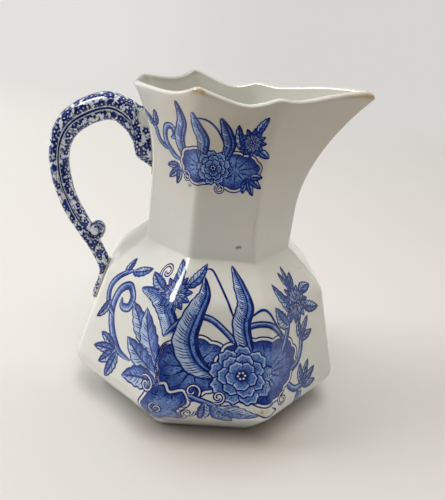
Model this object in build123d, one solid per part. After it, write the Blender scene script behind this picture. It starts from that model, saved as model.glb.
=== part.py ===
from build123d import *
import math
import os

# Octagonal moulded cream jug: a pressed body in two halves, a base slab let into the foot,
# and a looped handle that is luted on with slip.
# Frame: origin on the table under the middle of the foot, +Z up, +X to the spout, -X to the handle.
# All dimensions are millimetres. A "half width" is measured from the axis to the middle of a flat side.

# ---- belly ----
SIDES = 8
BASE_HALF_WIDTH = 50.4        # where the body stands on the table
RIDGE_HALF_WIDTH = 64.2       # widest ring, before its edge is rounded
RIDGE_HEIGHT = 17.0
RIDGE_ROUND = 10.0
SHOULDER_HALF_WIDTH = 51.0    # edge between the wall and the sloping shoulder, before it is rounded
SHOULDER_HEIGHT = 62.5
SHOULDER_ROUND = 12.0
CREASE_HEIGHT = 77.0          # where the sloping shoulder meets the neck
SHOULDER_OVERRUN = 1.4        # the slope runs on this far inside the neck, as a share of its length

# ---- neck and mouth ----
NECK_CORNER_RADIUS = 37.6     # axis to a corner of the neck
NECK_SPOUT_FACE = 33.0        # axis to the flat face below the spout
NECK_SPOUT_FACE_WIDTH = 27.4
RIM_HEIGHT = 150.0            # table to the raised corners of the rim
RAISED_CORNER_ANGLE = 113.5   # from the spout round to the raised corners
FLARE_START = 105.0
FLARE_RADIUS = 76.0           # the neck opens outward on this arc
THROAT_FLARE_SHARE = 0.2      # how much of the flare reaches the pinched corners beside the spout
THROAT_PINCH = 3.0            # how far those corners draw back at mid neck
SPOUT_START = 97.0
SPOUT_REACH = 66.5            # axis to the nose, at the top of the spout
SPOUT_RISE = 3.0              # top of the spout above the raised corners
NOSE_WIDTH = 2.8

# ---- thickness ----
WALL = 3.5
NOSE_WALL = 5.4
NOSE_CHANNEL = 1.8            # width of the hollow at the nose
FLOOR_THICKNESS = 4.0
FOOT_WIDTH = 5.0              # ring of body clay round the base slab

# Rim height round half the mouth, as (angle from the spout, height below or above RIM_HEIGHT).
# The two halves of the mouth mirror each other.
RIM_WAVE = [
    (0, 2.0), (6, SPOUT_RISE), (12, 2.6), (21, 1.5), (33, -0.3), (47, -1.8), (57, -2.0), (69, -1.5),
    (78, -3.4), (88, -4.9), (98, -4.0), (108, -1.6), (113.5, 0.0), (119, -1.7), (128, -3.6),
    (140, -4.1), (157.5, -3.2), (180, -4.0),
]
NECK_SECTIONS = 11            # levels that shape the neck
TRIM_ALLOWANCE = 0.4          # neck is built this far above the spout and then trimmed to the rim
NECK_ROOT = 60.0              # neck starts here, hidden inside the belly

# ---- handle ----
UPPER_JOINT_DROP = 30.5       # middle of the upper joint below the raised corners of the rim
LOWER_JOINT_DROP = 3.9        # where the tail reaches the belly, below the shoulder
# Loop from inside the neck wall down to the thumb scroll: (share of the height between the two
# joints, reach outward from the line between them, heading in degrees in the XZ plane, thickness,
# width)
HANDLE_LOOP = [
    (1.000, -2.1, 180, 31.0, 9.0),
    (1.044, 7.0, 180, 24.5, 9.5),
    (1.130, 11.6, 178, 16.8, 10.5),
    (1.192, 17.5, 172, 12.6, 11.0),
    (1.218, 24.4, 184, 12.5, 11.0),
    (1.169, 31.8, 207, 12.3, 11.0),
    (1.074, 38.1, 228, 11.6, 10.5),
    (0.943, 40.4, 252, 10.2, 10.2),
    (0.782, 38.8, 270, 9.2, 10.0),
    (0.619, 34.6, 284, 8.8, 9.8),
    (0.456, 28.4, 296, 8.4, 9.5),
    (0.322, 21.6, 303, 8.2, 9.0),
]
# From the thumb scroll down to the end of the tail, which lies on the belly: (height above the lower
# joint, how far its middle stands off the line of the flat side, heading, thickness, width)
HANDLE_ROOT = [
    (12.6, 15.4, 304, 7.6, 8.5),
    (6.2, 9.8, 302, 6.8, 7.5),
    (0.0, 4.5, 292, 6.6, 7.0),
    (-6.4, 0.9, 272, 5.2, 6.4),
    (-12.2, 0.3, 258, 4.4, 6.0),
    (-17.2, 0.7, 254, 4.0, 5.6),
    (-21.4, 0.7, 262, 2.6, 4.0),
]
SCROLL_OFFSET = 4.3           # middle of the thumb scroll inward from the first section of the root
SCROLL_RADIUS = 3.6
SCROLL_WIDTH = 8.0
SCROLL_EDGE_ROUND = 1.0

# ---- joints ----
SLIP_THICKNESS = 0.7          # luting slip between handle and body
SLIP_SQUEEZE = 0.7            # how far the slip stands out round the handle

HALF_TURN = 180.0
FAR = 400.0                   # larger than the whole jug
RIM_TRIM_INNER = 5.0          # the rim trimmer runs from inside the mouth
RIM_TRIM_OUTER = 120.0        # to outside the nose


def inset_corner(before, corner, after, depth):
    """Where the two sides that meet at a corner cross once both move inward by depth."""
    to_corner = Vector(corner[0] - before[0], corner[1] - before[1]).normalized()
    from_corner = Vector(after[0] - corner[0], after[1] - corner[1]).normalized()
    turn = to_corner.cross(from_corner).Z
    slide = (from_corner - to_corner) * (depth / turn)
    return (corner[0] + slide.X, corner[1] + slide.Y)


def polar(radius, angle):
    return (radius * math.cos(math.radians(angle)), radius * math.sin(math.radians(angle)))


def between(start, end, share):
    return (start[0] + (end[0] - start[0]) * share, start[1] + (end[1] - start[1]) * share)


def flare(height):
    rise = max(0.0, height - FLARE_START)
    return FLARE_RADIUS - math.sqrt(FLARE_RADIUS ** 2 - rise ** 2)


def neck_half_width(height):
    """Axis to the flat side of the neck that carries the handle."""
    return (NECK_CORNER_RADIUS + flare(height)) * math.cos(math.pi / SIDES)


def belly_profile(inset):
    """Upright cut from the axis to the middle of a flat side, with the sides moved in by inset."""
    shoulder = (SHOULDER_HALF_WIDTH, SHOULDER_HEIGHT)
    top = between(shoulder, (neck_half_width(CREASE_HEIGHT), CREASE_HEIGHT), SHOULDER_OVERRUN)
    outline = [
        (-BASE_HALF_WIDTH, 0),
        (BASE_HALF_WIDTH, 0),
        (RIDGE_HALF_WIDTH, RIDGE_HEIGHT),
        shoulder,
        top,
        (-top[0], top[1]),
    ]
    base, ridge, shoulder, top = [inset_corner(*outline[turn : turn + 3], inset) for turn in range(4)]
    profile = make_face(Polyline((0, base[1]), base, ridge, shoulder, top, (0, top[1]), close=True))
    profile = fillet(profile.vertices().sort_by_distance(shoulder)[0], SHOULDER_ROUND - inset)
    return fillet(profile.vertices().sort_by_distance(ridge)[0], RIDGE_ROUND - inset)


def belly_solid(profile):
    """Eight equal wedges, each with one flat side that follows the cut."""
    side = extrude(Plane.XZ * profile, FAR / 4, both=True)
    half_angle = HALF_TURN / SIDES
    slice_outline = Polyline((0, 0), polar(FAR / 2, -half_angle), polar(FAR / 2, half_angle), close=True)
    wedge = side & extrude(make_face(slice_outline), FAR / 2)
    belly = wedge
    for turn in range(1, SIDES):
        belly = belly + Rot(0, 0, 2 * half_angle * turn) * wedge
    return belly


def spout_share(height):
    """0 where the spout leaves the neck, 1 at its top."""
    rise = max(0.0, height - SPOUT_START)
    return (rise / (RIM_HEIGHT + SPOUT_RISE - SPOUT_START)) ** 2


def throat_corner(height):
    """Corner of the neck between the front flat and the side of the spout."""
    x, y = polar(NECK_CORNER_RADIUS, 67.5)
    climb = max(0.0, height - CREASE_HEIGHT) / (RIM_HEIGHT - CREASE_HEIGHT)
    pinch = THROAT_PINCH * math.sin(math.pi * min(climb, 1.0))
    return (x - pinch, y + THROAT_FLARE_SHARE * flare(height))


def neck_corners(height):
    """The four outer corners on the +Y side, from the spout round to the handle."""
    radius = NECK_CORNER_RADIUS + flare(height)
    foot = (NECK_SPOUT_FACE, NECK_SPOUT_FACE_WIDTH / 2)
    nose = (SPOUT_REACH, NOSE_WIDTH / 2)
    return [
        between(foot, nose, spout_share(height)),
        throat_corner(height),
        polar(radius, RAISED_CORNER_ANGLE),
        polar(radius, 157.5),
    ]


def mirrored(corner):
    return (corner[0], -corner[1])


def neck_bore_corners(height):
    """The four corners of the hollow inside the neck, on the +Y side."""
    spout, throat, raised, back = neck_corners(height)
    foot = inset_corner(
        (NECK_SPOUT_FACE, -NECK_SPOUT_FACE_WIDTH / 2),
        (NECK_SPOUT_FACE, NECK_SPOUT_FACE_WIDTH / 2),
        throat_corner(SPOUT_START),
        WALL,
    )
    nose = (SPOUT_REACH - NOSE_WALL, NOSE_CHANNEL / 2)
    return [
        between(foot, nose, spout_share(height)),
        inset_corner(spout, throat, raised, WALL),
        inset_corner(throat, raised, back, WALL),
        inset_corner(raised, back, mirrored(back), WALL),
    ]


def neck_solid(corners_at):
    """Loft through the eight-sided levels given by corners_at."""
    levels = [NECK_ROOT]
    climb = RIM_HEIGHT + SPOUT_RISE + TRIM_ALLOWANCE - CREASE_HEIGHT
    for step in range(NECK_SECTIONS):
        levels.append(CREASE_HEIGHT + climb * step / (NECK_SECTIONS - 1))
    sections = []
    for height in levels:
        half = corners_at(height)
        ring = half + [mirrored(corner) for corner in reversed(half)]
        sections.append(Pos(0, 0, height) * make_face(Polyline(*ring, close=True)))
    return loft(sections)


def rim_curve(radius):
    """Closed curve round the axis that carries the rim wave."""
    way_back = [(360 - angle, rise) for angle, rise in reversed(RIM_WAVE[1:-1])]
    full_turn = RIM_WAVE + way_back
    points = [Vector(*polar(radius, angle), RIM_HEIGHT + rise) for angle, rise in full_turn]
    parameters = [angle / 360 for angle, rise in full_turn] + [1.0]
    return Edge.make_spline(points, periodic=True, parameters=parameters)


def rim_trimmer():
    """Everything above the rim wave, which runs level from the axis outward."""
    blade = Face.make_surface_from_curves(rim_curve(RIM_TRIM_INNER), rim_curve(RIM_TRIM_OUTER))
    return extrude(blade, FAR / 4, dir=(0, 0, 1))


def body_outside():
    belly = belly_solid(belly_profile(0.0))
    return belly + neck_solid(neck_corners)


def body_inside():
    hollow = belly_solid(belly_profile(WALL))
    hollow = hollow & (Pos(0, 0, FLOOR_THICKNESS + FAR / 2) * Box(FAR, FAR, FAR))
    return hollow + neck_solid(neck_bore_corners)


def body_half(outside):
    """The half of the body behind the mould seam; the front half is its mirror image."""
    behind_seam = Pos(0, FAR / 2, 0) * Box(FAR, FAR, FAR)
    return (outside & behind_seam) - body_inside() - rim_trimmer() - base_slab()


def base_slab():
    octagon = RegularPolygon(
        BASE_HALF_WIDTH - FOOT_WIDTH, SIDES, major_radius=False, rotation=HALF_TURN / SIDES
    )
    return extrude(octagon, FLOOR_THICKNESS)


def belly_half_width(height):
    """Axis to the sloping flat side of the belly, between ridge and shoulder."""
    share = (height - RIDGE_HEIGHT) / (SHOULDER_HEIGHT - RIDGE_HEIGHT)
    return RIDGE_HALF_WIDTH + (SHOULDER_HALF_WIDTH - RIDGE_HALF_WIDTH) * share


def handle_stations():
    """Middle, heading, thickness and width of every section: (x, z, heading, thickness, width)."""
    neck_z = RIM_HEIGHT - UPPER_JOINT_DROP
    neck_x = -neck_half_width(neck_z)
    belly_z = SHOULDER_HEIGHT - LOWER_JOINT_DROP
    belly_x = -belly_half_width(belly_z)
    stations = []
    for share, reach, heading, thickness, width in HANDLE_LOOP:
        x, z = between((belly_x, belly_z), (neck_x, neck_z), share)
        stations.append((x - reach, z, heading, thickness, width))
    for rise, stand_off, heading, thickness, width in HANDLE_ROOT:
        z = belly_z + rise
        stations.append((-belly_half_width(z) - stand_off, z, heading, thickness, width))
    return stations


def handle_blank(swell):
    """Handle before it is trimmed to the body; swell makes every section larger all round."""
    sections = []
    for x, z, heading, thickness, width in handle_stations():
        along = (math.cos(math.radians(heading)), 0, math.sin(math.radians(heading)))
        station = Plane(origin=(x, 0, z), x_dir=(0, 1, 0), z_dir=along)
        sections.append(station * Ellipse(width / 2 + swell, thickness / 2 + swell))
    return loft(sections)


def thumb_scroll():
    """Roll across the inner side of the handle."""
    x, z, heading, thickness, width = handle_stations()[len(HANDLE_LOOP)]
    offset_x, offset_z = polar(SCROLL_OFFSET, heading + HALF_TURN / 2)
    roll = Rot(90, 0, 0) * Cylinder(SCROLL_RADIUS, SCROLL_WIDTH)
    roll = fillet(roll.edges().filter_by(GeomType.CIRCLE), SCROLL_EDGE_ROUND)
    return Pos(x + offset_x, 0, z + offset_z) * roll


def main():
    outside = body_outside()
    back_half = body_half(outside)
    outside_with_slip = outside + Pos(-SLIP_THICKNESS, 0, 0) * outside
    slip = (handle_blank(SLIP_SQUEEZE) & outside_with_slip) - outside
    upper_joint = RIM_HEIGHT - UPPER_JOINT_DROP
    lower_joint = SHOULDER_HEIGHT - LOWER_JOINT_DROP
    split_height = (upper_joint + lower_joint) / 2
    above = Pos(0, 0, split_height + FAR / 2) * Box(FAR, FAR, FAR)
    parts = {
        "body_front_half": mirror(back_half, about=Plane.XZ),
        "body_back_half": back_half,
        "base_slab": base_slab(),
        "handle": handle_blank(0) + thumb_scroll() - outside_with_slip,
        "handle_upper_slip": slip & above,
        "handle_lower_slip": slip - above,
    }
    os.makedirs("parts", exist_ok=True)
    for name, solid in parts.items():
        export_step(solid, f"parts/{name}.step")


main()
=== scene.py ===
# %% [markdown]
# # An eight-sided cream jug in blue and white china
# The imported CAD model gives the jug's size and place. This notebook dresses it: a glazed body with
# soft moulded corners, a handle with a thumb scroll, printed decoration and the marks of long use.
# Everything stands in the frame of the CAD model, +X to the spout and +Z up, so nothing is fitted by eye.

# %% Load the frame
import cmath
import math

import bmesh
import bpy
from mathutils import Matrix, Vector, noise


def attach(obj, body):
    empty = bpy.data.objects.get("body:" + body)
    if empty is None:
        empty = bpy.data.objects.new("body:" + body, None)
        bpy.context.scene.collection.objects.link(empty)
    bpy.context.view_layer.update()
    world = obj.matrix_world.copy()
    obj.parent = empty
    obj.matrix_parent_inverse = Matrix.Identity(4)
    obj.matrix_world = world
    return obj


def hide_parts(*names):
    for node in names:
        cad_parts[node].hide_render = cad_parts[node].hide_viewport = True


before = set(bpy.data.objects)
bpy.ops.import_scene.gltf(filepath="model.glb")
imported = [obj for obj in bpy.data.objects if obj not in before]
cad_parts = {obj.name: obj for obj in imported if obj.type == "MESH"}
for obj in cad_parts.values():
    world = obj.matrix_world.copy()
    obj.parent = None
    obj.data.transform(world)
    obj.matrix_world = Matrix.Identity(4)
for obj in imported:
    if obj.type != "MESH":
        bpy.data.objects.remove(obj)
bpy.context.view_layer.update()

MM = 0.001                    # lengths below are in millimetres and become metres in the meshes

# %% [markdown]
# ## The camera
# The jug is seen from its front side and from above, a little towards the handle, with the camera
# turned a few degrees about its own line of sight. A camera can be aimed with a Track To constraint,
# but a constraint can't hold that turn, so its three angles are given directly.

# %% Camera
def stand_up_camera():
    """Camera on the front side of the jug, looking down into its mouth."""
    place = Vector((-25.5, -257.2, 170.3)) * MM
    heading, pitch, roll = math.radians(6.31), math.radians(21.49), math.radians(7.81)
    aim = (
        Matrix.Rotation(-heading, 3, "Z")
        @ Matrix.Rotation(math.pi / 2 - pitch, 3, "X")
        @ Matrix.Rotation(roll, 3, "Z")
    )
    bpy.ops.object.camera_add(location=place, rotation=aim.to_euler())
    camera = bpy.context.object
    camera.data.lens = 39.76
    camera.data.clip_start = 0.01
    bpy.context.scene.camera = camera
    return camera


camera = stand_up_camera()
print("camera at", camera.location[:], "lens", camera.data.lens)

# %% [markdown]
# ## Small helpers for modelling
# A thrown or moulded pot is easy to model as rings: one closed loop of vertices is extruded again and
# again, and after each extrusion the new ring is pushed into the outline that the pot has at that
# level. Each vertex carries the number of its column and ring, which later gives the surface its UV map.

# %% Rings
def clear_selection():
    if bpy.context.object and bpy.context.object.mode != "OBJECT":
        bpy.ops.object.mode_set(mode="OBJECT")
    bpy.ops.object.select_all(action="DESELECT")


def select_edges(piece, wanted):
    """Select the edges whose two vertices are both wanted."""
    bpy.ops.mesh.select_all(action="DESELECT")
    mesh = bmesh.from_edit_mesh(piece.data)
    for edge in mesh.edges:
        edge.select = all(wanted(vertex) for vertex in edge.verts)
    mesh.select_flush(True)
    bmesh.update_edit_mesh(piece.data)


def extrude_rings(name, rings):
    """Closed skin over a list of rings, each a list of points in millimetres, in the same order."""
    clear_selection()
    columns = len(rings[0])
    bpy.ops.mesh.primitive_circle_add(vertices=columns, radius=1, fill_type="NOTHING")
    piece = bpy.context.object
    piece.name = name
    bpy.ops.object.mode_set(mode="EDIT")
    bpy.ops.mesh.select_all(action="SELECT")
    mesh = bmesh.from_edit_mesh(piece.data)
    column_of = mesh.verts.layers.int.new("column")
    ring_of = mesh.verts.layers.int.new("ring")
    for number, vertex in enumerate(mesh.verts):
        vertex[column_of] = number
    for level, ring in enumerate(rings):
        if level > 0:
            bpy.ops.mesh.extrude_edges_move()
            mesh = bmesh.from_edit_mesh(piece.data)
            column_of = mesh.verts.layers.int["column"]
            ring_of = mesh.verts.layers.int["ring"]
        for vertex in mesh.verts:
            if vertex.select:
                vertex.co = Vector(ring[vertex[column_of]]) * MM
                vertex[ring_of] = level
        bmesh.update_edit_mesh(piece.data)
    bpy.ops.mesh.edge_face_add()
    ring_of = bmesh.from_edit_mesh(piece.data).verts.layers.int["ring"]
    select_edges(piece, lambda vertex: vertex[ring_of] == 0)
    bpy.ops.mesh.edge_face_add()
    bpy.ops.mesh.select_all(action="SELECT")
    bpy.ops.mesh.normals_make_consistent(inside=False)
    bpy.ops.object.mode_set(mode="OBJECT")
    bpy.ops.object.shade_smooth()
    return piece


def curve(points, steps=8):
    """Catmull-Rom curve through numbers, real or complex, with this many steps between two of them."""
    line = []
    padded = [points[0]] + list(points) + [points[-1]]
    for start in range(len(points) - 1):
        p, q, r, s = padded[start : start + 4]
        for step in range(steps):
            t = step / steps
            line.append(0.5 * (2 * q + (r - p) * t + (2 * p - 5 * q + 4 * r - s) * t ** 2
                               + (3 * q - p - 3 * r + s) * t ** 3))
    return line + [points[-1]]


def smooth_line(points, steps):
    """The same curve through points of any dimension."""
    return list(zip(*(curve(axis, steps) for axis in zip(*points))))


def polar(radius, angle):
    return (radius * math.cos(math.radians(angle)), radius * math.sin(math.radians(angle)))


def between(start, end, share):
    return tuple(a + (b - a) * share for a, b in zip(start, end))


def raised(point, rise):
    return (point[0], point[1], point[2] + rise)


print("ring helpers ready")

# %% [markdown]
# ## The outline of the jug
# The belly is a regular octagon at every height. The neck keeps eight corners too, but they travel:
# the two at the front swing out and close up into the spout, the two beside it draw back a little,
# and the rest flare towards the rim. The rim itself runs up and down in a wave. These are the sizes
# of the CAD model, so the dressed jug and the solid model agree.

# %% Sizes of the belly and neck
SIDES = 8
BASE, RIDGE, SHOULDER = (50.4, 0.0), (64.2, 17.0), (51.0, 62.5)   # (half width, height)
CREASE_HEIGHT = 77.0          # where the sloping shoulder meets the neck
WALL = 3.5
FLOOR = 4.0
NECK_RADIUS = 37.6
NECK_SPOUT_FACE = (33.0, 13.7)
RIM_HEIGHT = 150.0
RAISED_CORNER_ANGLE = 113.5
FLARE_START, FLARE_RADIUS = 105.0, 76.0
SPOUT_START, SPOUT_TOP = 97.0, 153.0
NOSE = (66.5, 1.4)
NOSE_INSIDE = (61.1, 0.9)
THROAT_PINCH, THROAT_FLARE = 3.0, 0.2
RIM_WAVE = [
    (0, 2.6), (6, 3.0), (12, 2.6), (21, 1.5), (33, -0.3), (47, -1.8), (57, -2.0), (69, -1.5),
    (78, -3.4), (88, -4.9), (98, -4.0), (108, -1.6), (113.5, 0.0), (119, -1.7), (128, -3.6),
    (140, -4.1), (157.5, -3.3), (180, -3.3),
]


def rim_height(x, y):
    """Height of the rim where it passes over this point."""
    angle = abs(math.degrees(math.atan2(y, x)))
    for number in range(len(RIM_WAVE) - 1):
        (a0, h0), (a1, h1) = RIM_WAVE[number : number + 2]
        if angle <= a1:
            break
    before = RIM_WAVE[max(number - 1, 0)] if number else (-RIM_WAVE[1][0], RIM_WAVE[1][1])
    after = RIM_WAVE[number + 2] if number + 2 < len(RIM_WAVE) else (202.5, RIM_WAVE[-2][1])
    slope0 = (h1 - before[1]) / (a1 - before[0])
    slope1 = (after[1] - h0) / (after[0] - a0)
    width = a1 - a0
    t = (angle - a0) / width
    rise = (h0 * (1 + 2 * t) * (1 - t) ** 2 + h1 * t * t * (3 - 2 * t)
            + width * (slope0 * t * (1 - t) ** 2 - slope1 * t * t * (1 - t)))
    return RIM_HEIGHT + rise


def inset_corner(before, corner, after, depth):
    """Where the two sides that meet at a corner cross once both move inward by depth."""
    to_corner = (Vector(corner) - Vector(before)).normalized()
    from_corner = (Vector(after) - Vector(corner)).normalized()
    turn = to_corner.x * from_corner.y - to_corner.y * from_corner.x
    return tuple(Vector(corner) + (from_corner - to_corner) * (depth / turn))


def inset_ring(corners, depth):
    return [
        inset_corner(corners[number - 1], corners[number], corners[(number + 1) % SIDES], depth)
        for number in range(SIDES)
    ]


def belly_corners(half_width):
    radius = half_width / math.cos(math.pi / SIDES)
    return [polar(radius, 22.5 + 45 * number) for number in range(SIDES)]


def flare(height):
    rise = max(0.0, height - FLARE_START)
    return FLARE_RADIUS - math.sqrt(FLARE_RADIUS ** 2 - rise ** 2)


def spout_share(height):
    return (max(0.0, height - SPOUT_START) / (SPOUT_TOP - SPOUT_START)) ** 2


def with_mirror(half):
    return half + [(x, -y) for x, y in reversed(half)]


def neck_corners(height):
    """The eight outer corners of the neck, from the +Y side of the spout round by the handle."""
    radius = NECK_RADIUS + flare(height)
    climb = min(1.0, max(0.0, height - CREASE_HEIGHT) / (RIM_HEIGHT - CREASE_HEIGHT))
    x, y = polar(NECK_RADIUS, 67.5)
    throat = (x - THROAT_PINCH * math.sin(math.pi * climb), y + THROAT_FLARE * flare(height))
    spout = between(NECK_SPOUT_FACE, NOSE, spout_share(height))
    return with_mirror([spout, throat, polar(radius, RAISED_CORNER_ANGLE), polar(radius, 157.5)])


def bore_corners(height):
    """The eight corners of the hollow inside the neck."""
    corners = neck_corners(height)
    inside = inset_ring(corners, WALL)
    root = inset_ring(neck_corners(SPOUT_START), WALL)[0]
    spout = between(root, NOSE_INSIDE, spout_share(height))
    return with_mirror([spout] + inside[1:4])


print("rim runs from", round(rim_height(0, -1), 1), "to", round(rim_height(1, 0.1), 1), "mm")

# %% [markdown]
# ## Rings with soft corners
# Wet clay pressed in a mould never keeps a knife edge, and the glaze rounds it further. Beveling the
# finished solid would do, but where three rounds of different sizes meet, the mesh gets untidy. Here
# each ring is drawn with its corners already rounded: close to a corner the side leaves its straight
# line and follows a small curve, and more columns are spent there than on the flats.

# %% Soft rings
ARC_STEPS, FLAT_STEPS = 4, 8
SIDE_STEPS = 2 * ARC_STEPS + FLAT_STEPS
COLUMNS = SIDES * SIDE_STEPS
BELLY_SOFTNESS = [2.8] * SIDES          # where the rounding of a corner begins, along the side
NECK_FOOT_SOFTNESS = [2.0, 2.4, 2.0, 2.0, 2.0, 2.0, 2.4, 2.0]
NECK_RIM_SOFTNESS = [2.4, 6.5, 4.5, 5.2, 5.2, 4.5, 6.5, 2.4]
MOST_SOFTNESS = 0.45          # at most this share of a side
WANDER_LENGTH = 34            # millimetres from one slow bulge of the walls to the next
LEAST_SHRINK, EXTRA_SHRINK = 0.0007, 0.0030     # how far the walls draw in, as shares of the width


def rounded(before, corner, after, cut, share):
    """Point on the curve that rounds a corner; share runs from 0 to 1 across it."""
    corner = Vector(corner)
    start = corner + (Vector(before) - corner).normalized() * cut
    end = corner + (Vector(after) - corner).normalized() * cut
    return start * (1 - share) ** 2 + corner * 2 * share * (1 - share) + end * share ** 2


def side_cuts(corners, softness, side):
    """Length of a side, and how much of it the rounding takes at its two ends."""
    following = (side + 1) % SIDES
    length = math.dist(corners[side], corners[following])
    return length, *(min(softness[n], MOST_SOFTNESS * length) for n in (side, following))


def side_point(corners, softness, side, share):
    """Point part of the way along one side of a ring whose corners are rounded."""
    start, end = corners[side], corners[(side + 1) % SIDES]
    length, cut, next_cut = side_cuts(corners, softness, side)
    along = share * length
    if along < cut:
        return rounded(corners[side - 1], start, end, cut, 0.5 + 0.5 * along / cut)
    if length - along < next_cut:
        after = corners[(side + 2) % SIDES]
        return rounded(start, end, after, next_cut, 0.5 - 0.5 * (length - along) / next_cut)
    return Vector(between(start, end, share))


def column_point(corners, softness, column):
    side, step = divmod(column, SIDE_STEPS)
    length, *cuts = side_cuts(corners, softness, side)
    cut, next_cut = (part / length for part in cuts)
    if step <= ARC_STEPS:
        share = cut * step / ARC_STEPS
    elif step >= SIDE_STEPS - ARC_STEPS:
        share = 1 - next_cut * (SIDE_STEPS - step) / ARC_STEPS
    else:
        share = cut + (1 - cut - next_cut) * (step - ARC_STEPS) / FLAT_STEPS
    return side_point(corners, softness, side, share)


def handmade(x, y, z):
    """The jug isn't perfectly true: its walls wander in by up to a quarter of a millimetre."""
    wander = 0.5 + 0.5 * noise.noise(Vector((x, y, z)) / WANDER_LENGTH)
    shrink = 1 - LEAST_SHRINK - EXTRA_SHRINK * wander
    return (x * shrink, y * shrink, z)


def neck_softness(height):
    """The corners of the neck are crisp at its foot and get rounder towards the mouth."""
    share = max(0.0, (height - CREASE_HEIGHT) / (RIM_HEIGHT - CREASE_HEIGHT)) ** 2
    return [low + (high - low) * share for low, high in zip(NECK_FOOT_SOFTNESS, NECK_RIM_SOFTNESS)]


def belly_ring(half_width, height):
    corners = belly_corners(half_width)
    points = [column_point(corners, BELLY_SOFTNESS, column) for column in range(COLUMNS)]
    return [handmade(point.x, point.y, height) for point in points]


print(COLUMNS, "columns round the jug")

# %% [markdown]
# ## The upright cut through the belly
# Seen from the side, the belly is a line with rounded corners: foot, ridge, wall, shoulder. The same
# line, moved in by the thickness of the wall, shapes the inside. A rounded line is a job for a small
# function, which also lets the printed decoration find its place on the belly later.

# %% Belly line
def rounded_line(points, radii, arc_steps, flat_steps):
    """Points of a line whose inner corners are rounded with these radii."""
    line = [points[0]]
    for number in range(1, len(points)):
        corner = Vector(points[number])
        to_corner = (corner - Vector(points[number - 1])).normalized()
        radius = radii[number] if number < len(points) - 1 else 0
        if radius:
            onward = (Vector(points[number + 1]) - corner).normalized()
            cut = radius * math.tan(to_corner.angle(onward) / 2)
            entry = corner - to_corner * cut
        else:
            entry = corner
        last = line[-1]
        line += [between(last, entry, step / flat_steps) for step in range(1, flat_steps + 1)]
        if radius:
            middle = entry + Vector((-to_corner.y, to_corner.x)) * radius * side_of(to_corner, onward)
            turn = to_corner.angle(onward) * side_of(to_corner, onward)
            for step in range(1, arc_steps + 1):
                spoke = Matrix.Rotation(turn * step / arc_steps, 2) @ (entry - middle)
                line.append(tuple(middle + spoke))
    return line


def side_of(incoming, outgoing):
    return 1 if incoming.x * outgoing.y - incoming.y * outgoing.x > 0 else -1


FOOT_RECESS = 0.8             # the middle of the underside stands clear of the table
CENTRE_HOLE = 2.0             # half width of the last ring, which is closed with one face
RIDGE_ROUND, SHOULDER_ROUND = 10.0, 12.0
CREASE = (NECK_RADIUS * math.cos(math.pi / SIDES), CREASE_HEIGHT)
SHOULDER_SLOPE = math.atan2(CREASE[1] - SHOULDER[1], SHOULDER[0] - CREASE[0])
CREASE_ROUND = 1.5            # glaze and slip soften the crease where the neck rises
crease_turn = math.pi / 2 - SHOULDER_SLOPE
crease_reach = CREASE_ROUND * math.tan(crease_turn / 2)
slope_end = between(CREASE, SHOULDER, 0.16)
foot_line = [(CENTRE_HOLE, FOOT_RECESS), (43.6, FOOT_RECESS), (44.8, 0.0), BASE]
outside_line = rounded_line(
    foot_line + [RIDGE, SHOULDER, slope_end], [0, 0.7, 0.5, 1.3, RIDGE_ROUND, SHOULDER_ROUND, 0], 8, 4,
)
inner_ridge = inset_corner(BASE, RIDGE, SHOULDER, WALL)
inner_shoulder = inset_corner(RIDGE, SHOULDER, CREASE, WALL)
inner_crease = inset_corner(SHOULDER, CREASE, (CREASE[0], RIM_HEIGHT), WALL)
inner_base = inset_corner((0.0, FLOOR - WALL), (BASE[0], FLOOR - WALL), RIDGE, WALL)
inside_line = rounded_line(
    [between(inner_crease, inner_shoulder, 0.12), inner_shoulder, inner_ridge, (inner_base[0], FLOOR),
     (CENTRE_HOLE, FLOOR)],
    [0, 8.5, 6.5, 4.0, 0], 6, 4,
)
print("belly line", len(outside_line), "points outside and", len(inside_line), "inside")

# %% [markdown]
# ## The jug body
# The real body was pressed in two halves and a base slab, but under the glaze nothing shows of that,
# so one closed skin stands for all three. It starts in the middle of the underside, climbs the
# belly, turns up at the crease into the neck, goes over the rounded rim and back down the inside
# to the floor. Solidify could make the wall, but it would give a square rim.

# %% Jug body
RIM_ROUND, TIP_ROUND = 1.5, 2.9     # the lip is thicker and blunter at the tip of the spout
TIP_SPREAD = 5.0                    # degrees to either side over which it gets so
NECK_LEVELS, CREASE_STEPS, RIM_STEPS = 40, 5, 10
INNER_EDGE_ROUND = 3.0
crease_top = CREASE_HEIGHT + crease_reach
inner_top = inner_crease[1] + INNER_EDGE_ROUND * math.tan(crease_turn / 2)


def foot_rise(column):
    """The slope reaches a part of the neck that stands further in, such as below the spout, higher up."""
    slope_point = column_point(belly_corners(CREASE[0]), BELLY_SOFTNESS, column)
    neck_point = column_point(neck_corners(CREASE_HEIGHT), neck_softness(CREASE_HEIGHT), column)
    return (slope_point.length - neck_point.length) * math.tan(SHOULDER_SLOPE)


FOOT_RISE = [foot_rise(column) for column in range(COLUMNS)]


def rim_round(x, y):
    angle = math.degrees(math.atan2(y, x))
    return RIM_ROUND + (TIP_ROUND - RIM_ROUND) * math.exp(-(angle / TIP_SPREAD) ** 2)


def climbing_ring(corners_at, foot, share):
    """Ring of the neck; share runs from 0, along the foot, to 1, following the rim."""
    ring = []
    for column in range(COLUMNS):
        start = foot + FOOT_RISE[column]
        level = start + (RIM_HEIGHT - start) * share
        guess = column_point(corners_at(level), neck_softness(level), column)
        top = rim_height(guess.x, guess.y) - rim_round(guess.x, guess.y)
        height = start + (top - start) * share
        point = column_point(corners_at(height), neck_softness(height), column)
        ring.append(handmade(point.x, point.y, height))
    return ring


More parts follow.
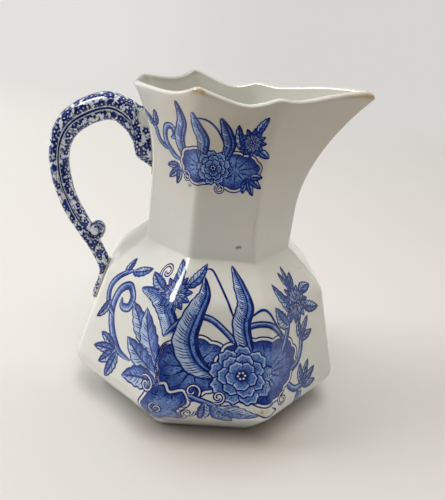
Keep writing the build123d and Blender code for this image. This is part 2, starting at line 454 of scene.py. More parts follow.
def turning_rings(corners_at, round_size, top, turns):
    """Rings of a soft crease between the sloping shoulder and the upright neck."""
    rings = []
    for turn in turns:
        spread = round_size * (1 - math.cos(turn))
        drop = round_size * math.sin(turn)
        ring = []
        for column in range(COLUMNS):
            height = top + FOOT_RISE[column] - drop
            corners = inset_ring(corners_at(height), -spread)
            point = column_point(corners, neck_softness(height), column)
            ring.append(handmade(point.x, point.y, height))
        rings.append(ring)
    return rings


def rim_rings():
    outer, inner = (climbing_ring(at, crease_top, 1.0) for at in (neck_corners, bore_corners))
    rings = []
    for step in range(1, RIM_STEPS):
        turn = math.pi * step / RIM_STEPS
        share = (1 - math.cos(turn)) / 2
        rings.append([
            raised(between(a, b, share), rim_round(*a[:2]) * math.sin(turn)) for a, b in zip(outer, inner)
        ])
    return rings


def body_rings():
    rings = [belly_ring(*point) for point in outside_line]
    turns = [crease_turn * step / CREASE_STEPS for step in range(CREASE_STEPS + 1)]
    rings += turning_rings(neck_corners, CREASE_ROUND, crease_top, turns[:0:-1])
    rings += [
        climbing_ring(neck_corners, crease_top, step / NECK_LEVELS) for step in range(NECK_LEVELS + 1)
    ]
    rings += rim_rings()
    rings += [
        climbing_ring(bore_corners, inner_top, step / NECK_LEVELS)
        for step in range(NECK_LEVELS, -1, -1)
    ]
    rings += turning_rings(bore_corners, INNER_EDGE_ROUND, inner_top, turns[1:])
    rings += [belly_ring(*point) for point in inside_line]
    return rings


jug_body = extrude_rings("jug_body", body_rings())
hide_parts("body_front_half", "body_back_half", "base_slab")
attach(jug_body, "root")
print("jug body", len(jug_body.data.polygons), "faces")

# %% [markdown]
# ## The handle
# The handle was pressed in a mould of its own as two strands that lie side by side along the loop.
# The outer strand runs on as the tail, and the inner one rolls up as the thumb scroll. A curve with a
# bevel object could sweep one fixed outline, but this one changes all the way: tall where it grips
# the neck, two-lobed along the loop, a single thin strand on the belly. So it is extruded ring by ring.

# %% Handle line
UPPER_JOINT = 119.5
LOWER_JOINT = 58.6
LOOP = [                      # share of the height between the joints, reach, heading, thickness, width
    (1.000, -2.1, 180, 31.0, 9.0), (1.044, 7.0, 180, 24.5, 9.5), (1.130, 11.6, 178, 16.8, 10.5),
    (1.192, 17.5, 172, 12.6, 11.0), (1.218, 24.4, 184, 12.5, 11.0), (1.169, 31.8, 207, 12.3, 11.0),
    (1.074, 38.1, 228, 11.6, 10.5), (0.943, 40.4, 252, 10.2, 10.2), (0.782, 38.8, 270, 9.2, 10.0),
    (0.619, 34.6, 284, 8.8, 9.8), (0.456, 28.4, 296, 8.4, 9.5), (0.322, 21.6, 303, 8.2, 9.0),
]
ROOT = [                      # height above the lower joint, stand-off, heading, thickness, width
    (12.6, 15.4, 304, 7.6, 8.5), (6.2, 9.8, 302, 6.8, 7.5), (0.0, 4.5, 292, 6.6, 7.0),
    (-6.4, 0.9, 272, 5.2, 6.4), (-12.2, 0.3, 258, 4.4, 6.0), (-17.2, 0.7, 254, 4.0, 5.6),
    (-21.4, 0.7, 262, 2.6, 4.0),
]


def belly_half_width(height):
    return RIDGE[0] + (SHOULDER[0] - RIDGE[0]) * (height - RIDGE[1]) / (SHOULDER[1] - RIDGE[1])


def neck_half_width(height):
    """Axis to the flat side of the neck that carries the handle."""
    return (NECK_RADIUS + flare(height)) * math.cos(math.pi / SIDES)


def handle_stations():
    stations = []
    upper_x, lower_x = -neck_half_width(UPPER_JOINT), -belly_half_width(LOWER_JOINT)
    for share, reach, heading, thickness, width in LOOP:
        x, z = between((lower_x, LOWER_JOINT), (upper_x, UPPER_JOINT), share)
        stations.append((x - reach, z, heading, thickness, width))
    for rise, stand_off, heading, thickness, width in ROOT:
        z = LOWER_JOINT + rise
        stations.append((-belly_half_width(z) - stand_off, z, heading, thickness, width))
    return stations


print(len(handle_stations()), "stations along the handle")

# %% [markdown]
# Between two stations the section changes smoothly. Across the handle, the outline of the two strands
# is the larger of two humps, blended so that the groove between them stays shallow and soft.

# %% Handle
HANDLE_COLUMNS, STATION_STEPS = 48, 7
STRANDS = [(0.38, 0.62, 1.0), (-0.46, 0.54, 0.9)]     # middle, half thickness and width of each strand
STRANDS_PART, STRANDS_PARTING, STRANDS_MEET = 1.2, 1.6, 13.2    # counted in stations along the handle
HUG_END, HUG_DEPTH = 1.1, 1.8       # the first stations follow the flat of the neck, a little inside it
HANDLE_WANDER = 0.22


def strand_width(across):
    """Half width of the two strands together; across runs from 1, outside, to -1, inside."""
    humps = [
        width * math.sqrt(max(0.0, 1 - ((across - middle) / half) ** 2))
        for middle, half, width in STRANDS
    ]
    return sum(hump ** 3 for hump in humps) ** (1 / 3)


def handle_ring(station, progress):
    x, z, heading, thickness, width = station
    outward = polar(1, heading - 90)
    parted = min(1.0, max(0.0, (progress - STRANDS_PART) / STRANDS_PARTING))
    two_strands = parted * min(1.0, max(0.0, STRANDS_MEET - progress))
    hug = max(0.0, 1 - progress / HUG_END)
    ring = []
    for column in range(HANDLE_COLUMNS):
        turn = 2 * math.pi * (column + 0.5) / HANDLE_COLUMNS + math.pi
        across, side = math.cos(turn), math.sin(turn)
        lobed = math.copysign(strand_width(across), side)
        spread = width / 2 * (side + (lobed - side) * two_strands)
        px = x + outward[0] * across * thickness / 2
        pz = z + outward[1] * across * thickness / 2
        wander = HANDLE_WANDER * noise.noise(Vector((px, spread, pz)) / 6)
        px += (-neck_half_width(pz) + HUG_DEPTH - px) * hug
        ring.append((px + outward[0] * wander, spread * (1 + wander / 8), pz + outward[1] * wander))
    return ring


def unroll(piece, rings, seam_turn):
    """Two UV maps: "sheet", the skin laid flat in millimetres, and "place", how far across and along."""
    columns, along, girths = len(rings[0]), [0.0], []
    for ring, following in zip(rings, rings[1:]):
        moved = [(Vector(b) - Vector(a)).length for a, b in zip(ring, following)]
        along.append(along[-1] + sum(moved) / columns)
    for ring in rings:
        lengths = [0.0]
        for start, end in zip(ring, ring[1:] + ring[:1]):
            lengths.append(lengths[-1] + math.dist(start, end))
        girths.append([length - lengths[-1] / 2 for length in lengths])
    mesh = piece.data
    column_of, ring_of = mesh.attributes["column"].data, mesh.attributes["ring"].data
    sheet, place = mesh.uv_layers.new(name="sheet"), mesh.uv_layers.new(name="place")
    for face in mesh.polygons:
        at = [column_of[vertex].value for vertex in face.vertices]
        over_seam = len(at) == 4 and max(at) - min(at) > 1
        for loop, vertex, column in zip(face.loop_indices, face.vertices, at):
            ring = ring_of[vertex].value
            across = math.cos(2 * math.pi * (column + 0.5) / columns + seam_turn)
            last_side = columns if over_seam and column == 0 else column
            sheet.data[loop].uv = (girths[ring][last_side], along[ring])
            place.data[loop].uv = (across, ring / (len(rings) - 1))


handle_path = smooth_line(handle_stations(), STATION_STEPS)
handle_rings = [handle_ring(station, n / STATION_STEPS) for n, station in enumerate(handle_path)]
tip = handle_rings[-1]
tip_middle = between(tip[0], tip[HANDLE_COLUMNS // 2], 0.5)
for shrink, slide in ((0.8, 0.7), (0.45, 1.1)):
    handle_rings.append([raised(between(tip_middle, point, shrink), -slide) for point in tip])
jug_handle = extrude_rings("jug_handle", handle_rings)
unroll(jug_handle, handle_rings, math.pi)
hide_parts("handle")
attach(jug_handle, "root")
print("handle", len(jug_handle.data.polygons), "faces")

# %% [markdown]
# The thumb scroll is the end of the inner strand. It leaves the handle, drops under itself and rolls
# up towards the neck, getting thinner as it goes, with a small eye left in the middle.

# %% Thumb scroll
SCROLL_COLUMNS, SCROLL_STEPS = 20, 6
EYE_PLACE, EYE_RADIUS, EYE_LENGTH, EYE_ROUNDING = (-60.2, 0.0, 73.2), 1.9, 8.8, 0.8
SCROLL_LINE = [               # x, z, thickness, width
    (-69.6, 84.0, 2.6, 6.6), (-67.3, 78.8, 3.2, 7.4), (-65.2, 74.2, 3.4, 7.9), (-62.9, 70.9, 3.3, 8.1),
    (-60.0, 69.8, 3.1, 8.2), (-57.5, 71.1, 2.9, 8.2), (-56.9, 73.7, 2.6, 8.1), (-58.6, 75.8, 2.4, 7.9),
    (-61.2, 75.2, 2.1, 7.5), (-61.9, 73.1, 2.0, 7.2), (-60.7, 72.3, 2.1, 7.0), (-59.6, 73.0, 1.9, 6.8),
]


def strip_rings(line, columns, squareness):
    """Rings of a strip that lies along a line in the XZ plane, with well rounded edges."""
    rings = []
    for number, (x, z, thickness, width) in enumerate(line):
        before, after = line[max(number - 1, 0)], line[min(number + 1, len(line) - 1)]
        along = Vector((after[0] - before[0], after[1] - before[1])).normalized()
        ring = []
        for column in range(columns):
            turn = 2 * math.pi * (column + 0.5) / columns
            across, side = math.cos(turn), math.sin(turn)
            across = math.copysign(abs(across) ** squareness, across) * thickness / 2
            side = math.copysign(abs(side) ** squareness, side) * width / 2
            ring.append((x - along.y * across, side, z + along.x * across))
        rings.append(ring)
    return rings


scroll_rings = strip_rings(smooth_line(SCROLL_LINE, SCROLL_STEPS), SCROLL_COLUMNS, 0.75)
thumb_scroll = extrude_rings("thumb_scroll", scroll_rings)
unroll(thumb_scroll, scroll_rings, 0.0)
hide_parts("handle")
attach(thumb_scroll, "root")
print("thumb scroll", len(thumb_scroll.data.polygons), "faces")


def make_eye():
    """The round plug that fills the middle of the scroll, with softly beveled ends."""
    clear_selection()
    bpy.ops.mesh.primitive_cylinder_add(vertices=32, radius=EYE_RADIUS * MM, depth=EYE_LENGTH * MM,
                                        location=Vector(EYE_PLACE) * MM, rotation=(math.pi / 2, 0, 0))
    eye = bpy.context.object
    eye.name = "scroll_eye"
    bpy.ops.object.transform_apply(location=True, rotation=True, scale=True)
    bpy.ops.object.mode_set(mode="EDIT")
    bpy.ops.mesh.select_all(action="DESELECT")
    mesh = bmesh.from_edit_mesh(eye.data)
    for edge in mesh.edges:
        edge.select = edge.verts[0].co.y * edge.verts[1].co.y > 0
    bmesh.update_edit_mesh(eye.data)
    bpy.ops.mesh.bevel(offset=EYE_ROUNDING * MM, segments=5, affect="EDGES")
    bpy.ops.object.mode_set(mode="OBJECT")
    bpy.ops.object.shade_smooth()
    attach(eye, "root")
    return eye


scroll_eye = make_eye()
print("scroll eye", len(scroll_eye.data.polygons), "faces")

# %% [markdown]
# ## Drawing the print
# The blue decoration was printed on thin paper and pressed on the unglazed jug as a flat sheet. It is
# drawn flat here too, in millimetres, with each point a complex number, so that a turn is a
# multiplication. Everything on the sheet is a patch: the area between a left and a right line, filled
# with one ink. The design of flowers, leaves and a garden rock is a plain traditional one.

# %% Drawing tools
def offset(line, gaps):
    """A line beside a line: gaps is one distance to the left, or one for each point."""
    if not isinstance(gaps, list):
        gaps = [gaps] * len(line)
    moved = []
    for number, (point, gap) in enumerate(zip(line, gaps)):
        along = line[min(number + 1, len(line) - 1)] - line[max(number - 1, 0)]
        moved.append(point + 1j * along / (abs(along) or 1) * gap)
    return moved


def beside(line, gaps):
    """The two lines at these distances to the left and to the right of a line."""
    return offset(line, gaps), offset(line, [-gap for gap in gaps])


def around(centre, radius, degrees):
    return centre + cmath.rect(radius, math.radians(degrees))


def every_other(count):
    """Numbers of the petals in a ring: first every other one, then those that lie over them."""
    return [*range(0, count, 2), *range(1, count, 2)]


# %% The sheet and its motifs
THINNEST_END, END_SHAPE = 0.06, 0.6     # how a line of ink runs out to its ends


class Sheet:
    """A flat sheet of print: a list of patches, drawn with a pen that makes its lines wider or finer."""

    def __init__(self, pen):
        self.patches = []
        self.pen = pen

    def lay(self, left, right, ink):
        self.patches.append((left, right, ink))

    def ribbon(self, line, width, ink, taper):
        last = len(line) - 1
        half = []
        for number in range(len(line)):
            share = number / last
            fade = min(1.0, share / taper, (1 - share) / taper) if taper else 1.0
            half.append(width / 2 * max(fade, THINNEST_END) ** END_SHAPE)
        self.lay(*beside(line, half), ink)

    def draw(self, line, width, taper=0.3):
        """A dark line of the pen."""
        self.ribbon(line, width * self.pen, "dark", taper)

    def disc(self, centre, radius, ink, step=45):
        ring = [around(centre, radius, angle) for angle in range(0, 361, step)]
        self.lay(ring, [centre] * len(ring), ink)

    def seeds(self, centre, reach, count, turn, size):
        for number in range(count):
            self.disc(around(centre, reach, 360 / count * number + turn), size, "white")

    def stem(self, points, width):
        line = curve(points)
        self.ribbon(line, width + 0.9 * self.pen, "dark", 0.15)
        self.ribbon(line, width, "wash", 0.15)
        self.ribbon(offset(line, width * 0.22), width * 0.22, "pale", 0.2)

    def tendril(self, points, width):
        self.draw(curve(points), width)

    def curl(self, centre, radius, start, turns, width):
        """A spiral band that closes in on its centre, with a white line along it."""
        count = max(6, int(abs(turns) * 10))
        line = []
        for number in range(count + 1):
            share = number / count
            line.append(around(centre, radius * (1 - 0.86 * share), start + 360 * turns * share))
        line = curve(line)
        self.ribbon(line, width * 1.3, "dark", 0.08)
        self.ribbon(line, width * 0.34, "white", 0.1)

    def leaf(self, base, tip, bow, width, veins):
        """A leaf with a bowed spine, pale on the left of it and darker on the right."""
        bend = (base + tip) / 2 + 1j * (tip - base) * bow
        steps = 16
        spine, half = [], []
        for n in range(steps + 1):
            t = n / steps
            spine.append(base * (1 - t) ** 2 + 2 * bend * t * (1 - t) + tip * t * t)
            wave = 1 + 0.10 * math.sin(n * 2.1)
            half.append(width / 2 * math.sin(math.pi * t ** 0.8) ** 0.85 * wave)
        half[-1] = 0.02
        left, right = beside(spine, half)
        self.lay(left, spine, "pale")
        self.lay(spine, right, "wash")
        for n in range(veins):
            i = 2 + int(n * (steps - 6) / max(veins - 1, 1))
            for edge in (left, right):
                end = spine[i] + (edge[min(i + 3, steps)] - spine[i]) * 0.86
                middle = (spine[i] + end) / 2 + (end - spine[i]) * 0.06j
                self.draw([spine[i], middle, end], 0.34)
        self.draw(left, 0.5, 0.12)
        self.draw(right, 0.62, 0.12)
        self.draw(spine, 0.6)

    def spray(self, root, angle, length, count, spread, width):
        """Leaves that spread like fingers from one point."""
        for n in range(count):
            lean = n - (count - 1) / 2
            tip = around(root, length * (1 - 0.12 * abs(lean)), angle + spread * lean)
            self.leaf(root, tip, 0.10 * lean, length * width, 4)

    def plume(self, points, widths, scallops):
        """A long fern-like leaf: hatched and scalloped on one side, plain and dark on the other."""
        spine = curve(points, 10)
        last = len(spine) - 1
        full, broad = [], []
        for n in range(len(spine)):
            t = n / last * (len(widths) - 1)
            k = min(int(t), len(widths) - 2)
            full.append(widths[k] + (widths[k + 1] - widths[k]) * (t - k))
            broad.append(full[n] * (0.66 + 0.05 * abs(math.sin(math.pi * scallops * n / last))))
        wide = offset(spine, broad)
        slim = offset(spine, [-w * 0.34 for w in full])
        self.lay(wide, spine, "pale")
        self.lay(offset(spine, [w * 0.22 for w in full]), spine, "wash")
        self.lay(spine, slim, "wash")
        self.lay(offset(spine, [-w * 0.20 for w in full]), slim, "dark")
        hatches = int(last * 0.75)
        for n in range(hatches):
            i = 1 + int(n * (last - 5) / hatches)
            gap = wide[min(i + 3, last)] - spine[i]
            self.draw([spine[i], spine[i] + gap * 0.5 + gap * 0.05j, spine[i] + gap * 0.93], 0.36, 0.35)
        self.draw(wide, 0.55, 0.06)
        self.draw(slim, 0.7, 0.06)
        self.draw(spine, 0.65, 0.1)

    def petal(self, centre, middle, spread, inner, outer):
        """A petal of a peony: lobed at the rim, darker towards the heart, with fine strokes."""
        steps, lobes = 14, 3
        rays = [middle + spread * (n / steps - 0.5) for n in range(steps + 1)]
        bulge = [math.sin(math.pi * n / steps) for n in range(steps + 1)]
        rim = [
            outer * (0.72 + 0.28 * b ** 0.45) + outer * 0.035 * math.cos(2 * math.pi * lobes * n / steps)
            for n, b in enumerate(bulge)
        ]
        shaded = [inner + (r - inner) * (0.62 + 0.2 * b) for r, b in zip(rim, bulge)]
        edge = [around(centre, r, ray) for r, ray in zip(rim, rays)]
        heart = [around(centre, inner, ray) for ray in rays]
        self.lay(edge, heart, "pale")
        self.lay([around(centre, r, ray) for r, ray in zip(shaded, rays)], heart, "wash")
        for n in range(1, steps, 2):
            reach = 0.5 + 0.28 * bulge[n] * (1 if n % 4 == 1 else 0.75)
            stroke_end = around(centre, inner + (rim[n] - inner) * reach, rays[n])
            self.draw([heart[n], stroke_end], 0.34, 0.45)
        self.draw([heart[0]] + edge + [heart[-1]], 0.5, 0.1)

    def peony(self, centre, radius, turn, squash):
        """Three rows of petals round a dark heart, squashed because the flower is seen from the side."""
        start = len(self.patches)
        rows = ((1.0, 0.55, 9, 0, 48), (0.74, 0.36, 7, 20, 60), (0.5, 0.16, 5, 45, 82))
        for size, inner, count, shift, spread in rows:
            for n in every_other(count):
                self.petal(centre, turn + shift + 360 * n / count, spread, radius * inner, radius * size)
        self.disc(centre, radius * 0.2, "dark", 30)
        self.seeds(centre, radius * 0.11, 6, turn, radius * 0.035)

        def squashed(line):
            gaps = [point - centre for point in line]
            return [centre + complex(gap.real, gap.imag * squash) for gap in gaps]

        for number in range(start, len(self.patches)):
            left, right, ink = self.patches[number]
            self.patches[number] = (squashed(left), squashed(right), ink)

    def aster(self, centre, radius, turn, count):
        """A flower with pointed petals in two rows round a dark button."""
        steps = 8
        for size, shift, ink in ((1.0, 0.0, "wash"), (0.72, 0.5, "pale")):
            swell = [math.sin(math.pi * min(1.0, 0.12 + 0.88 * k / steps)) for k in range(steps)]
            half = [radius * 0.155 * size * share for share in swell] + [0.02]
            for n in every_other(count):
                angle = turn + 360 * (n + shift) / count
                tip = around(centre, radius * size * (1 + 0.06 * math.sin(5 * n)), angle)
                root = around(centre, radius * 0.2, angle)
                spine = [root + (tip - root) * k / steps for k in range(steps + 1)]
                left, right = beside(spine, half)
                self.lay(left, right, ink)
                self.draw(spine, 0.34, 0.4)
                self.draw(left, 0.42, 0.1)
                self.draw(right, 0.42, 0.1)
        self.disc(centre, radius * 0.24, "dark")
        self.seeds(centre, radius * 0.13, 5, 0, radius * 0.035)

    def rimmed(self, edge, heart):
        """A closed outline filled from its heart, with a pale line inside its dark edge."""
        self.lay([heart] * len(edge), edge, "wash")
        self.draw(edge, 1.5, 0)
        self.ribbon(edge, 0.6 * self.pen, "white", 0)

    def lotus_leaf(self, centre, wide, high, scallops, turn, forks):
        """A broad leaf seen from above: wavy rim, veins that run out from the middle and fork."""
        edge = []
        count = scallops * 8
        for n in range(count + 1):
            angle = 2 * math.pi * n / count
            wave = 1 + 0.075 * abs(math.sin(scallops * angle / 2)) + 0.05 * math.sin(3 * angle + turn)
            edge.append(centre + complex(wide * math.cos(angle), high * math.sin(angle)) * wave)
        self.rimmed(edge, centre)
        for n in range(forks):
            gap = edge[int((n + 0.5) * count / forks)] - centre
            split = centre + gap * (0.62 + 0.03j)
            self.draw([centre + gap * 0.1, centre + gap * (0.35 + 0.02j), split], 0.62)
            for side in (1, -1):
                knee, end = (centre + gap * (far + out * side) for far, out in ((0.78, 0.05j), (0.9, 0.11j)))
                self.draw([split, knee, end], 0.42)

    def rock(self, outline, heart):
        """A garden rock: a craggy outline with short contour strokes."""
        edge = curve(outline + [outline[0]])
        self.rimmed(edge, heart)
        for n in range(0, len(edge) - 1, 5):
            gap = heart - edge[n]
            side = 1 if n % 2 else -1
            stroke = [edge[n] + gap * part for part in (0.16, 0.26 + 0.05j * side, 0.4 + 0.14j * side)]
            self.draw(stroke, 0.5, 0.35)

# %% [markdown]
# The belly sheet runs round three sides of the belly, its middle on the front side. The neck sheet
# is smaller, with a finer pen.

# %% Designs
def belly_design(sheet):
    s = sheet
    # left: curling stems and sprays
    s.stem([-44 + 38j, -53 + 39j, -61 + 46j, -66 + 56j, -65 + 66j, -59 + 71j, -54 + 67j, -55 + 61j,
            -60 + 60j, -61.5 + 64j], 3.0)
    s.stem([-63 + 53j, -70 + 58j, -72.5 + 66j, -68 + 74j, -62 + 79j], 2.2)
    s.leaf(-63 + 78j, -51 + 84j, -0.12, 5.4, 5)
    s.leaf(-66 + 76j, -69 + 85j, 0.1, 4.0, 4)
    s.spray(-56 + 38j, 196, 14.5, 3, 36, 0.34)
    s.leaf(-54 + 38j, -58 + 22j, 0.10, 5.4, 5)
    s.leaf(-69 + 60j, -75 + 48j, 0.15, 4.2, 4)
    # upper left: flower with long leaves
    s.curl(-39.5 + 86j, 5.4, -60, -1.35, 1.8)
    s.plume([-22 + 60j, -28 + 69j, -38 + 74j, -50 + 73j], [8, 9.5, 8, 0.4], 7)
    s.leaf(-33 + 77j, -49 + 83j, 0.10, 6.0, 6)
    s.leaf(-27 + 82j, -33 + 95j, -0.12, 6.0, 5)
    s.leaf(-22 + 82j, -12 + 95j, -0.18, 6.6, 5)
    s.tendril([-16 + 91j, -8 + 92j, -2 + 86j, 3 + 78j, 7 + 70j, 12 + 66j], 0.8)
    s.aster(-27 + 78j, 10.5, 8, 13)
    # middle left: broad pointed leaves
    s.leaf(-37 + 48j, -53 + 65j, -0.10, 10.0, 8)
    s.leaf(-28 + 44j, -42 + 66j, 0.14, 12.0, 8)
    s.leaf(-27 + 40j, -50 + 48j, 0.12, 11.0, 8)
    s.leaf(-26 + 36j, -47 + 29j, -0.10, 10.0, 7)
    # broad stippled leaves
    s.lotus_leaf(-10 + 45j, 17, 13.5, 11, 1.0, 11)
    s.lotus_leaf(24 + 45j, 22.5, 15, 14, 0.3, 14)
    # arched stems above the leaves
    s.stem([-27 + 58j, -18 + 67j, -6 + 68j, 4 + 62j, 10 + 56j], 1.7)
    s.stem([8 + 57j, 15 + 65j, 26 + 67j, 35 + 61j, 40 + 54j], 1.7)
    # tall plumes
    s.plume([16 + 54j, 13 + 66j, 15 + 76j, 12 + 86j, 7 + 95j], [7, 9, 8.5, 7, 0.4], 9)
    s.plume([4 + 40j, -8 + 46j, -14 + 57j, -12 + 69j, -9 + 79j, -12 + 88j], [0.6, 9, 12, 10, 7, 0.4], 11)
    s.peony(13 + 42j, 15.5, 10, 0.92)
    # bottom left: garden rock with scrolls
    s.rock([-31 + 27j, -33 + 21j, -29 + 16j, -30 + 12j, -23 + 11j, -19 + 14j, -14 + 12j, -11 + 17j,
            -14 + 22j, -10 + 27j, -13 + 33j, -19 + 32j, -22 + 36j, -28 + 33j], -21 + 23j)
    s.curl(-24 + 23j, 3.6, 100, 1.3, 1.4)
    s.curl(-16 + 17j, 2.8, 20, -1.2, 1.2)
    s.curl(-31 + 33j, 4.4, 150, -1.3, 1.6)
    s.curl(-9 + 33j, 4.4, 250, 1.3, 1.6)
    s.curl(-10 + 21j, 3.6, 30, -1.2, 1.5)
    s.stem([-11 + 31j, -5 + 29j, 1 + 27j, 5 + 26j], 1.5)
    s.leaf(1 + 27j, 12 + 14j, -0.14, 7.0, 6)
    s.leaf(3 + 26j, 22 + 22j, -0.12, 7.5, 7)
    s.leaf(-3 + 28j, -4 + 15j, 0.12, 5.4, 5)
    s.curl(3 + 31j, 3.4, 230, 1.3, 1.5)
    s.tendril([20 + 24j, 26 + 21j, 31 + 24j, 28 + 27j], 0.7)
    s.ribbon(curve([-30 + 10j, -20 + 8j, -10 + 8j, -4 + 7.5j]), 0.9, "pale", 0.3)
    # right: flower, buds and sprays
    s.stem([36 + 50j, 41 + 58j, 44 + 66j, 50 + 72j], 2.6)
    s.tendril([14 + 68j, 24 + 74j, 32 + 66j, 40 + 56j], 0.8)
    s.leaf(44 + 62j, 32 + 74j, 0.16, 6.6, 6)
    s.leaf(47 + 68j, 36 + 85j, 0.08, 6.0, 6)
    s.spray(52 + 80j, 82, 12.0, 3, 36, 0.32)
    s.leaf(58 + 70j, 73 + 65j, -0.12, 5.6, 5)
    s.leaf(58 + 76j, 71 + 78j, 0.12, 5.0, 5)
    s.aster(52 + 72j, 11.0, 0, 14)
    s.stem([43 + 40j, 49 + 42j, 53 + 48j, 54 + 55j], 2.2)
    s.spray(53 + 53j, 50, 13.0, 3, 42, 0.32)
    s.stem([40 + 34j, 46 + 29j, 53 + 29j], 2.2)
    s.spray(52 + 29j, 42, 14.0, 4, 33, 0.30)
    s.leaf(49 + 28j, 52 + 14j, -0.10, 5.0, 5)
    s.curl(36 + 28j, 3.8, 60, 1.2, 1.5)


def neck_design(sheet):
    s = sheet
    s.stem([-24 + 118j, -29 + 120j, -33 + 125j, -32 + 130.5j, -28.5 + 131.5j, -27.5 + 128j,
            -30 + 126.5j], 1.7)
    s.stem([-31 + 121j, -36.5 + 124j, -38 + 129j, -40 + 132j], 1.2)
    s.leaf(-38.5 + 130j, -43 + 136j, 0.1, 2.8, 4)
    s.leaf(-38 + 130j, -36.5 + 137j, -0.1, 2.6, 4)
    s.spray(-25 + 115j, 222, 9.0, 3, 36, 0.34)
    s.plume([-21 + 119j, -24 + 127j, -22 + 135j, -24 + 143j], [3, 5.0, 4.4, 0.3], 6)
    s.lotus_leaf(-14 + 118j, 10, 7.0, 9, 1.0, 9)
    s.lotus_leaf(2 + 117.5j, 10.5, 7.6, 10, 0.3, 10)
    s.plume([-13 + 121j, -12 + 129j, -15 + 135j, -17 + 140j], [3.4, 5.0, 4.0, 0.3], 6)
    s.plume([-3 + 122j, -1 + 128j, -3 + 134j, -6 + 139j], [3, 4.6, 4.0, 0.3], 6)
    s.peony(-8 + 118j, 7.6, 20, 0.95)
    s.leaf(4 + 126j, 1 + 137j, 0.1, 3.4, 5)
    s.leaf(8.5 + 133j, 12 + 141j, 0.1, 3.0, 4)
    s.leaf(10 + 127j, 16 + 124j, 0.1, 3.0, 4)
    s.aster(7.5 + 130j, 6.2, 0, 12)
    s.spray(8 + 115j, -48, 8.6, 4, 36, 0.32)
    s.curl(-21 + 112j, 2.6, 150, -1.2, 1.0)
    s.curl(-4 + 109.5j, 2.4, 150, 1.2, 1.0)
    s.tendril([-16 + 138j, -11 + 137.5j, -7 + 134j, -4 + 128j], 0.7)

# %% [markdown]
# ## Pressing the print on
# A texture image would be the usual way to carry a print, but real geometry stays sharp at any
# distance. Each patch becomes a fine grid of faces that follows the jug just above the glaze. Where
# two patches of different ink overlap, the later one lies higher, by less than the thickness of a hair.

# %% Wrapping
FRONT, BACK = 5.5, 1.5        # where the middle of a sheet lies, counted in sides round the jug
BELLY_SIDE_WIDTH, NECK_SIDE_WIDTH = 53.2, 28.8      # millimetres of the sheet to one side
SHEET_LIFT, INK_LIFT = 0.03, 0.0015
RIDGE_ON_SHEET, DRAWN_IN = 21.9, 0.92       # above the ridge the sheet is drawn in to this share
BACK_NECK_SHIFT = 27.0                      # the sheet on the back of the neck sits further round
FINE_STEP = 1.25                            # longest step between two points of a pressed patch


def belly_guide():
    """Points (distance up the unrounded line, half width, height) that guide a sheet on the belly."""
    corners = [BASE, RIDGE, SHOULDER, slope_end]
    radii = [0, RIDGE_ROUND, SHOULDER_ROUND, 0]
    cuts = [0.0]
    for number in (1, 2):
        before, corner, after = (Vector(corners[n]) for n in (number - 1, number, number + 1))
        cuts.append(radii[number] * math.tan((corner - before).angle(after - corner) / 2))
    cuts.append(0.0)
    marks, start = [0.0], 0.0
    for number, cut in enumerate(cuts[1:]):
        length = math.dist(corners[number], corners[number + 1])
        low, high = start + cuts[number], start + length - cut
        marks += [low + (high - low) * step / 4 for step in range(1, 5)]
        start += length
        if cut:
            marks += [start - cut + 2 * cut * step / 8 for step in range(1, 9)]
    return [(mark, *point) for mark, point in zip(marks, rounded_line(corners, radii, 8, 4))]


guide_line = belly_guide()


def spot_on_ring(corners, softness, turn, height):
    """Point of the wall at this height; turn counts the sides that lie before it, in whole and part."""
    side = math.floor(turn)
    spot = side_point(corners, softness, side % SIDES, turn - side)
    return Vector(handmade(spot.x, spot.y, height))


def on_belly(point, first_side):
    """Place on the belly, in millimetres, of a point of the sheet."""
    up = min(point.imag, RIDGE_ON_SHEET) + max(0.0, point.imag - RIDGE_ON_SHEET) * DRAWN_IN
    for start, end in zip(guide_line, guide_line[1:]):
        if up <= end[0]:
            break
    _, width, height = between(start, end, (up - start[0]) / (end[0] - start[0]))
    turn = first_side + point.real / BELLY_SIDE_WIDTH
    return spot_on_ring(belly_corners(width), BELLY_SOFTNESS, turn, height)


def on_neck(point, first_side):
    """The same on the neck, where a sheet is as high as it stands."""
    height = point.imag
    turn = first_side + point.real / NECK_SIDE_WIDTH
    return spot_on_ring(neck_corners(height), neck_softness(height), turn, height)


def lifted(wrap, point, first_side, lift):
    """The wrapped point, raised along the surface's own outward direction, and that direction."""
    step = 0.05
    spot = wrap(point, first_side)
    across = wrap(point + step, first_side) - spot
    upward = wrap(point + 1j * step, first_side) - spot
    outward = across.cross(upward).normalized()
    return spot + outward * lift, outward


def refine(left, right):
    """Add points to both lines of a patch so that no step is longer than the fine step."""
    fine = [(left[0], right[0])]
    for a, b, c, d in zip(left, left[1:], right, right[1:]):
        parts = max(1, math.ceil(max(abs(b - a), abs(d - c)) / FINE_STEP))
        for part in range(1, parts + 1):
            fine.append((a + (b - a) * part / parts, c + (d - c) * part / parts))
    return fine


def stacking(patches):
    """How high each patch lies: above every earlier one that it touches and that has other ink."""
    boxes, levels = [], []
    for left, right, ink in patches:
        points = left + right
        xs, ys = [p.real for p in points], [p.imag for p in points]
        box = (min(xs), max(xs), min(ys), max(ys))
        level = 0
        for other, other_level, other_patch in zip(boxes, levels, patches):
            if box[0] <= other[1] and other[0] <= box[1] and box[2] <= other[3] and other[2] <= box[3]:
                level = max(level, other_level + (other_patch[2] != ink))
        boxes.append(box)
        levels.append(level)
    return levels


INKS = ["white", "pale", "wash", "dark"]


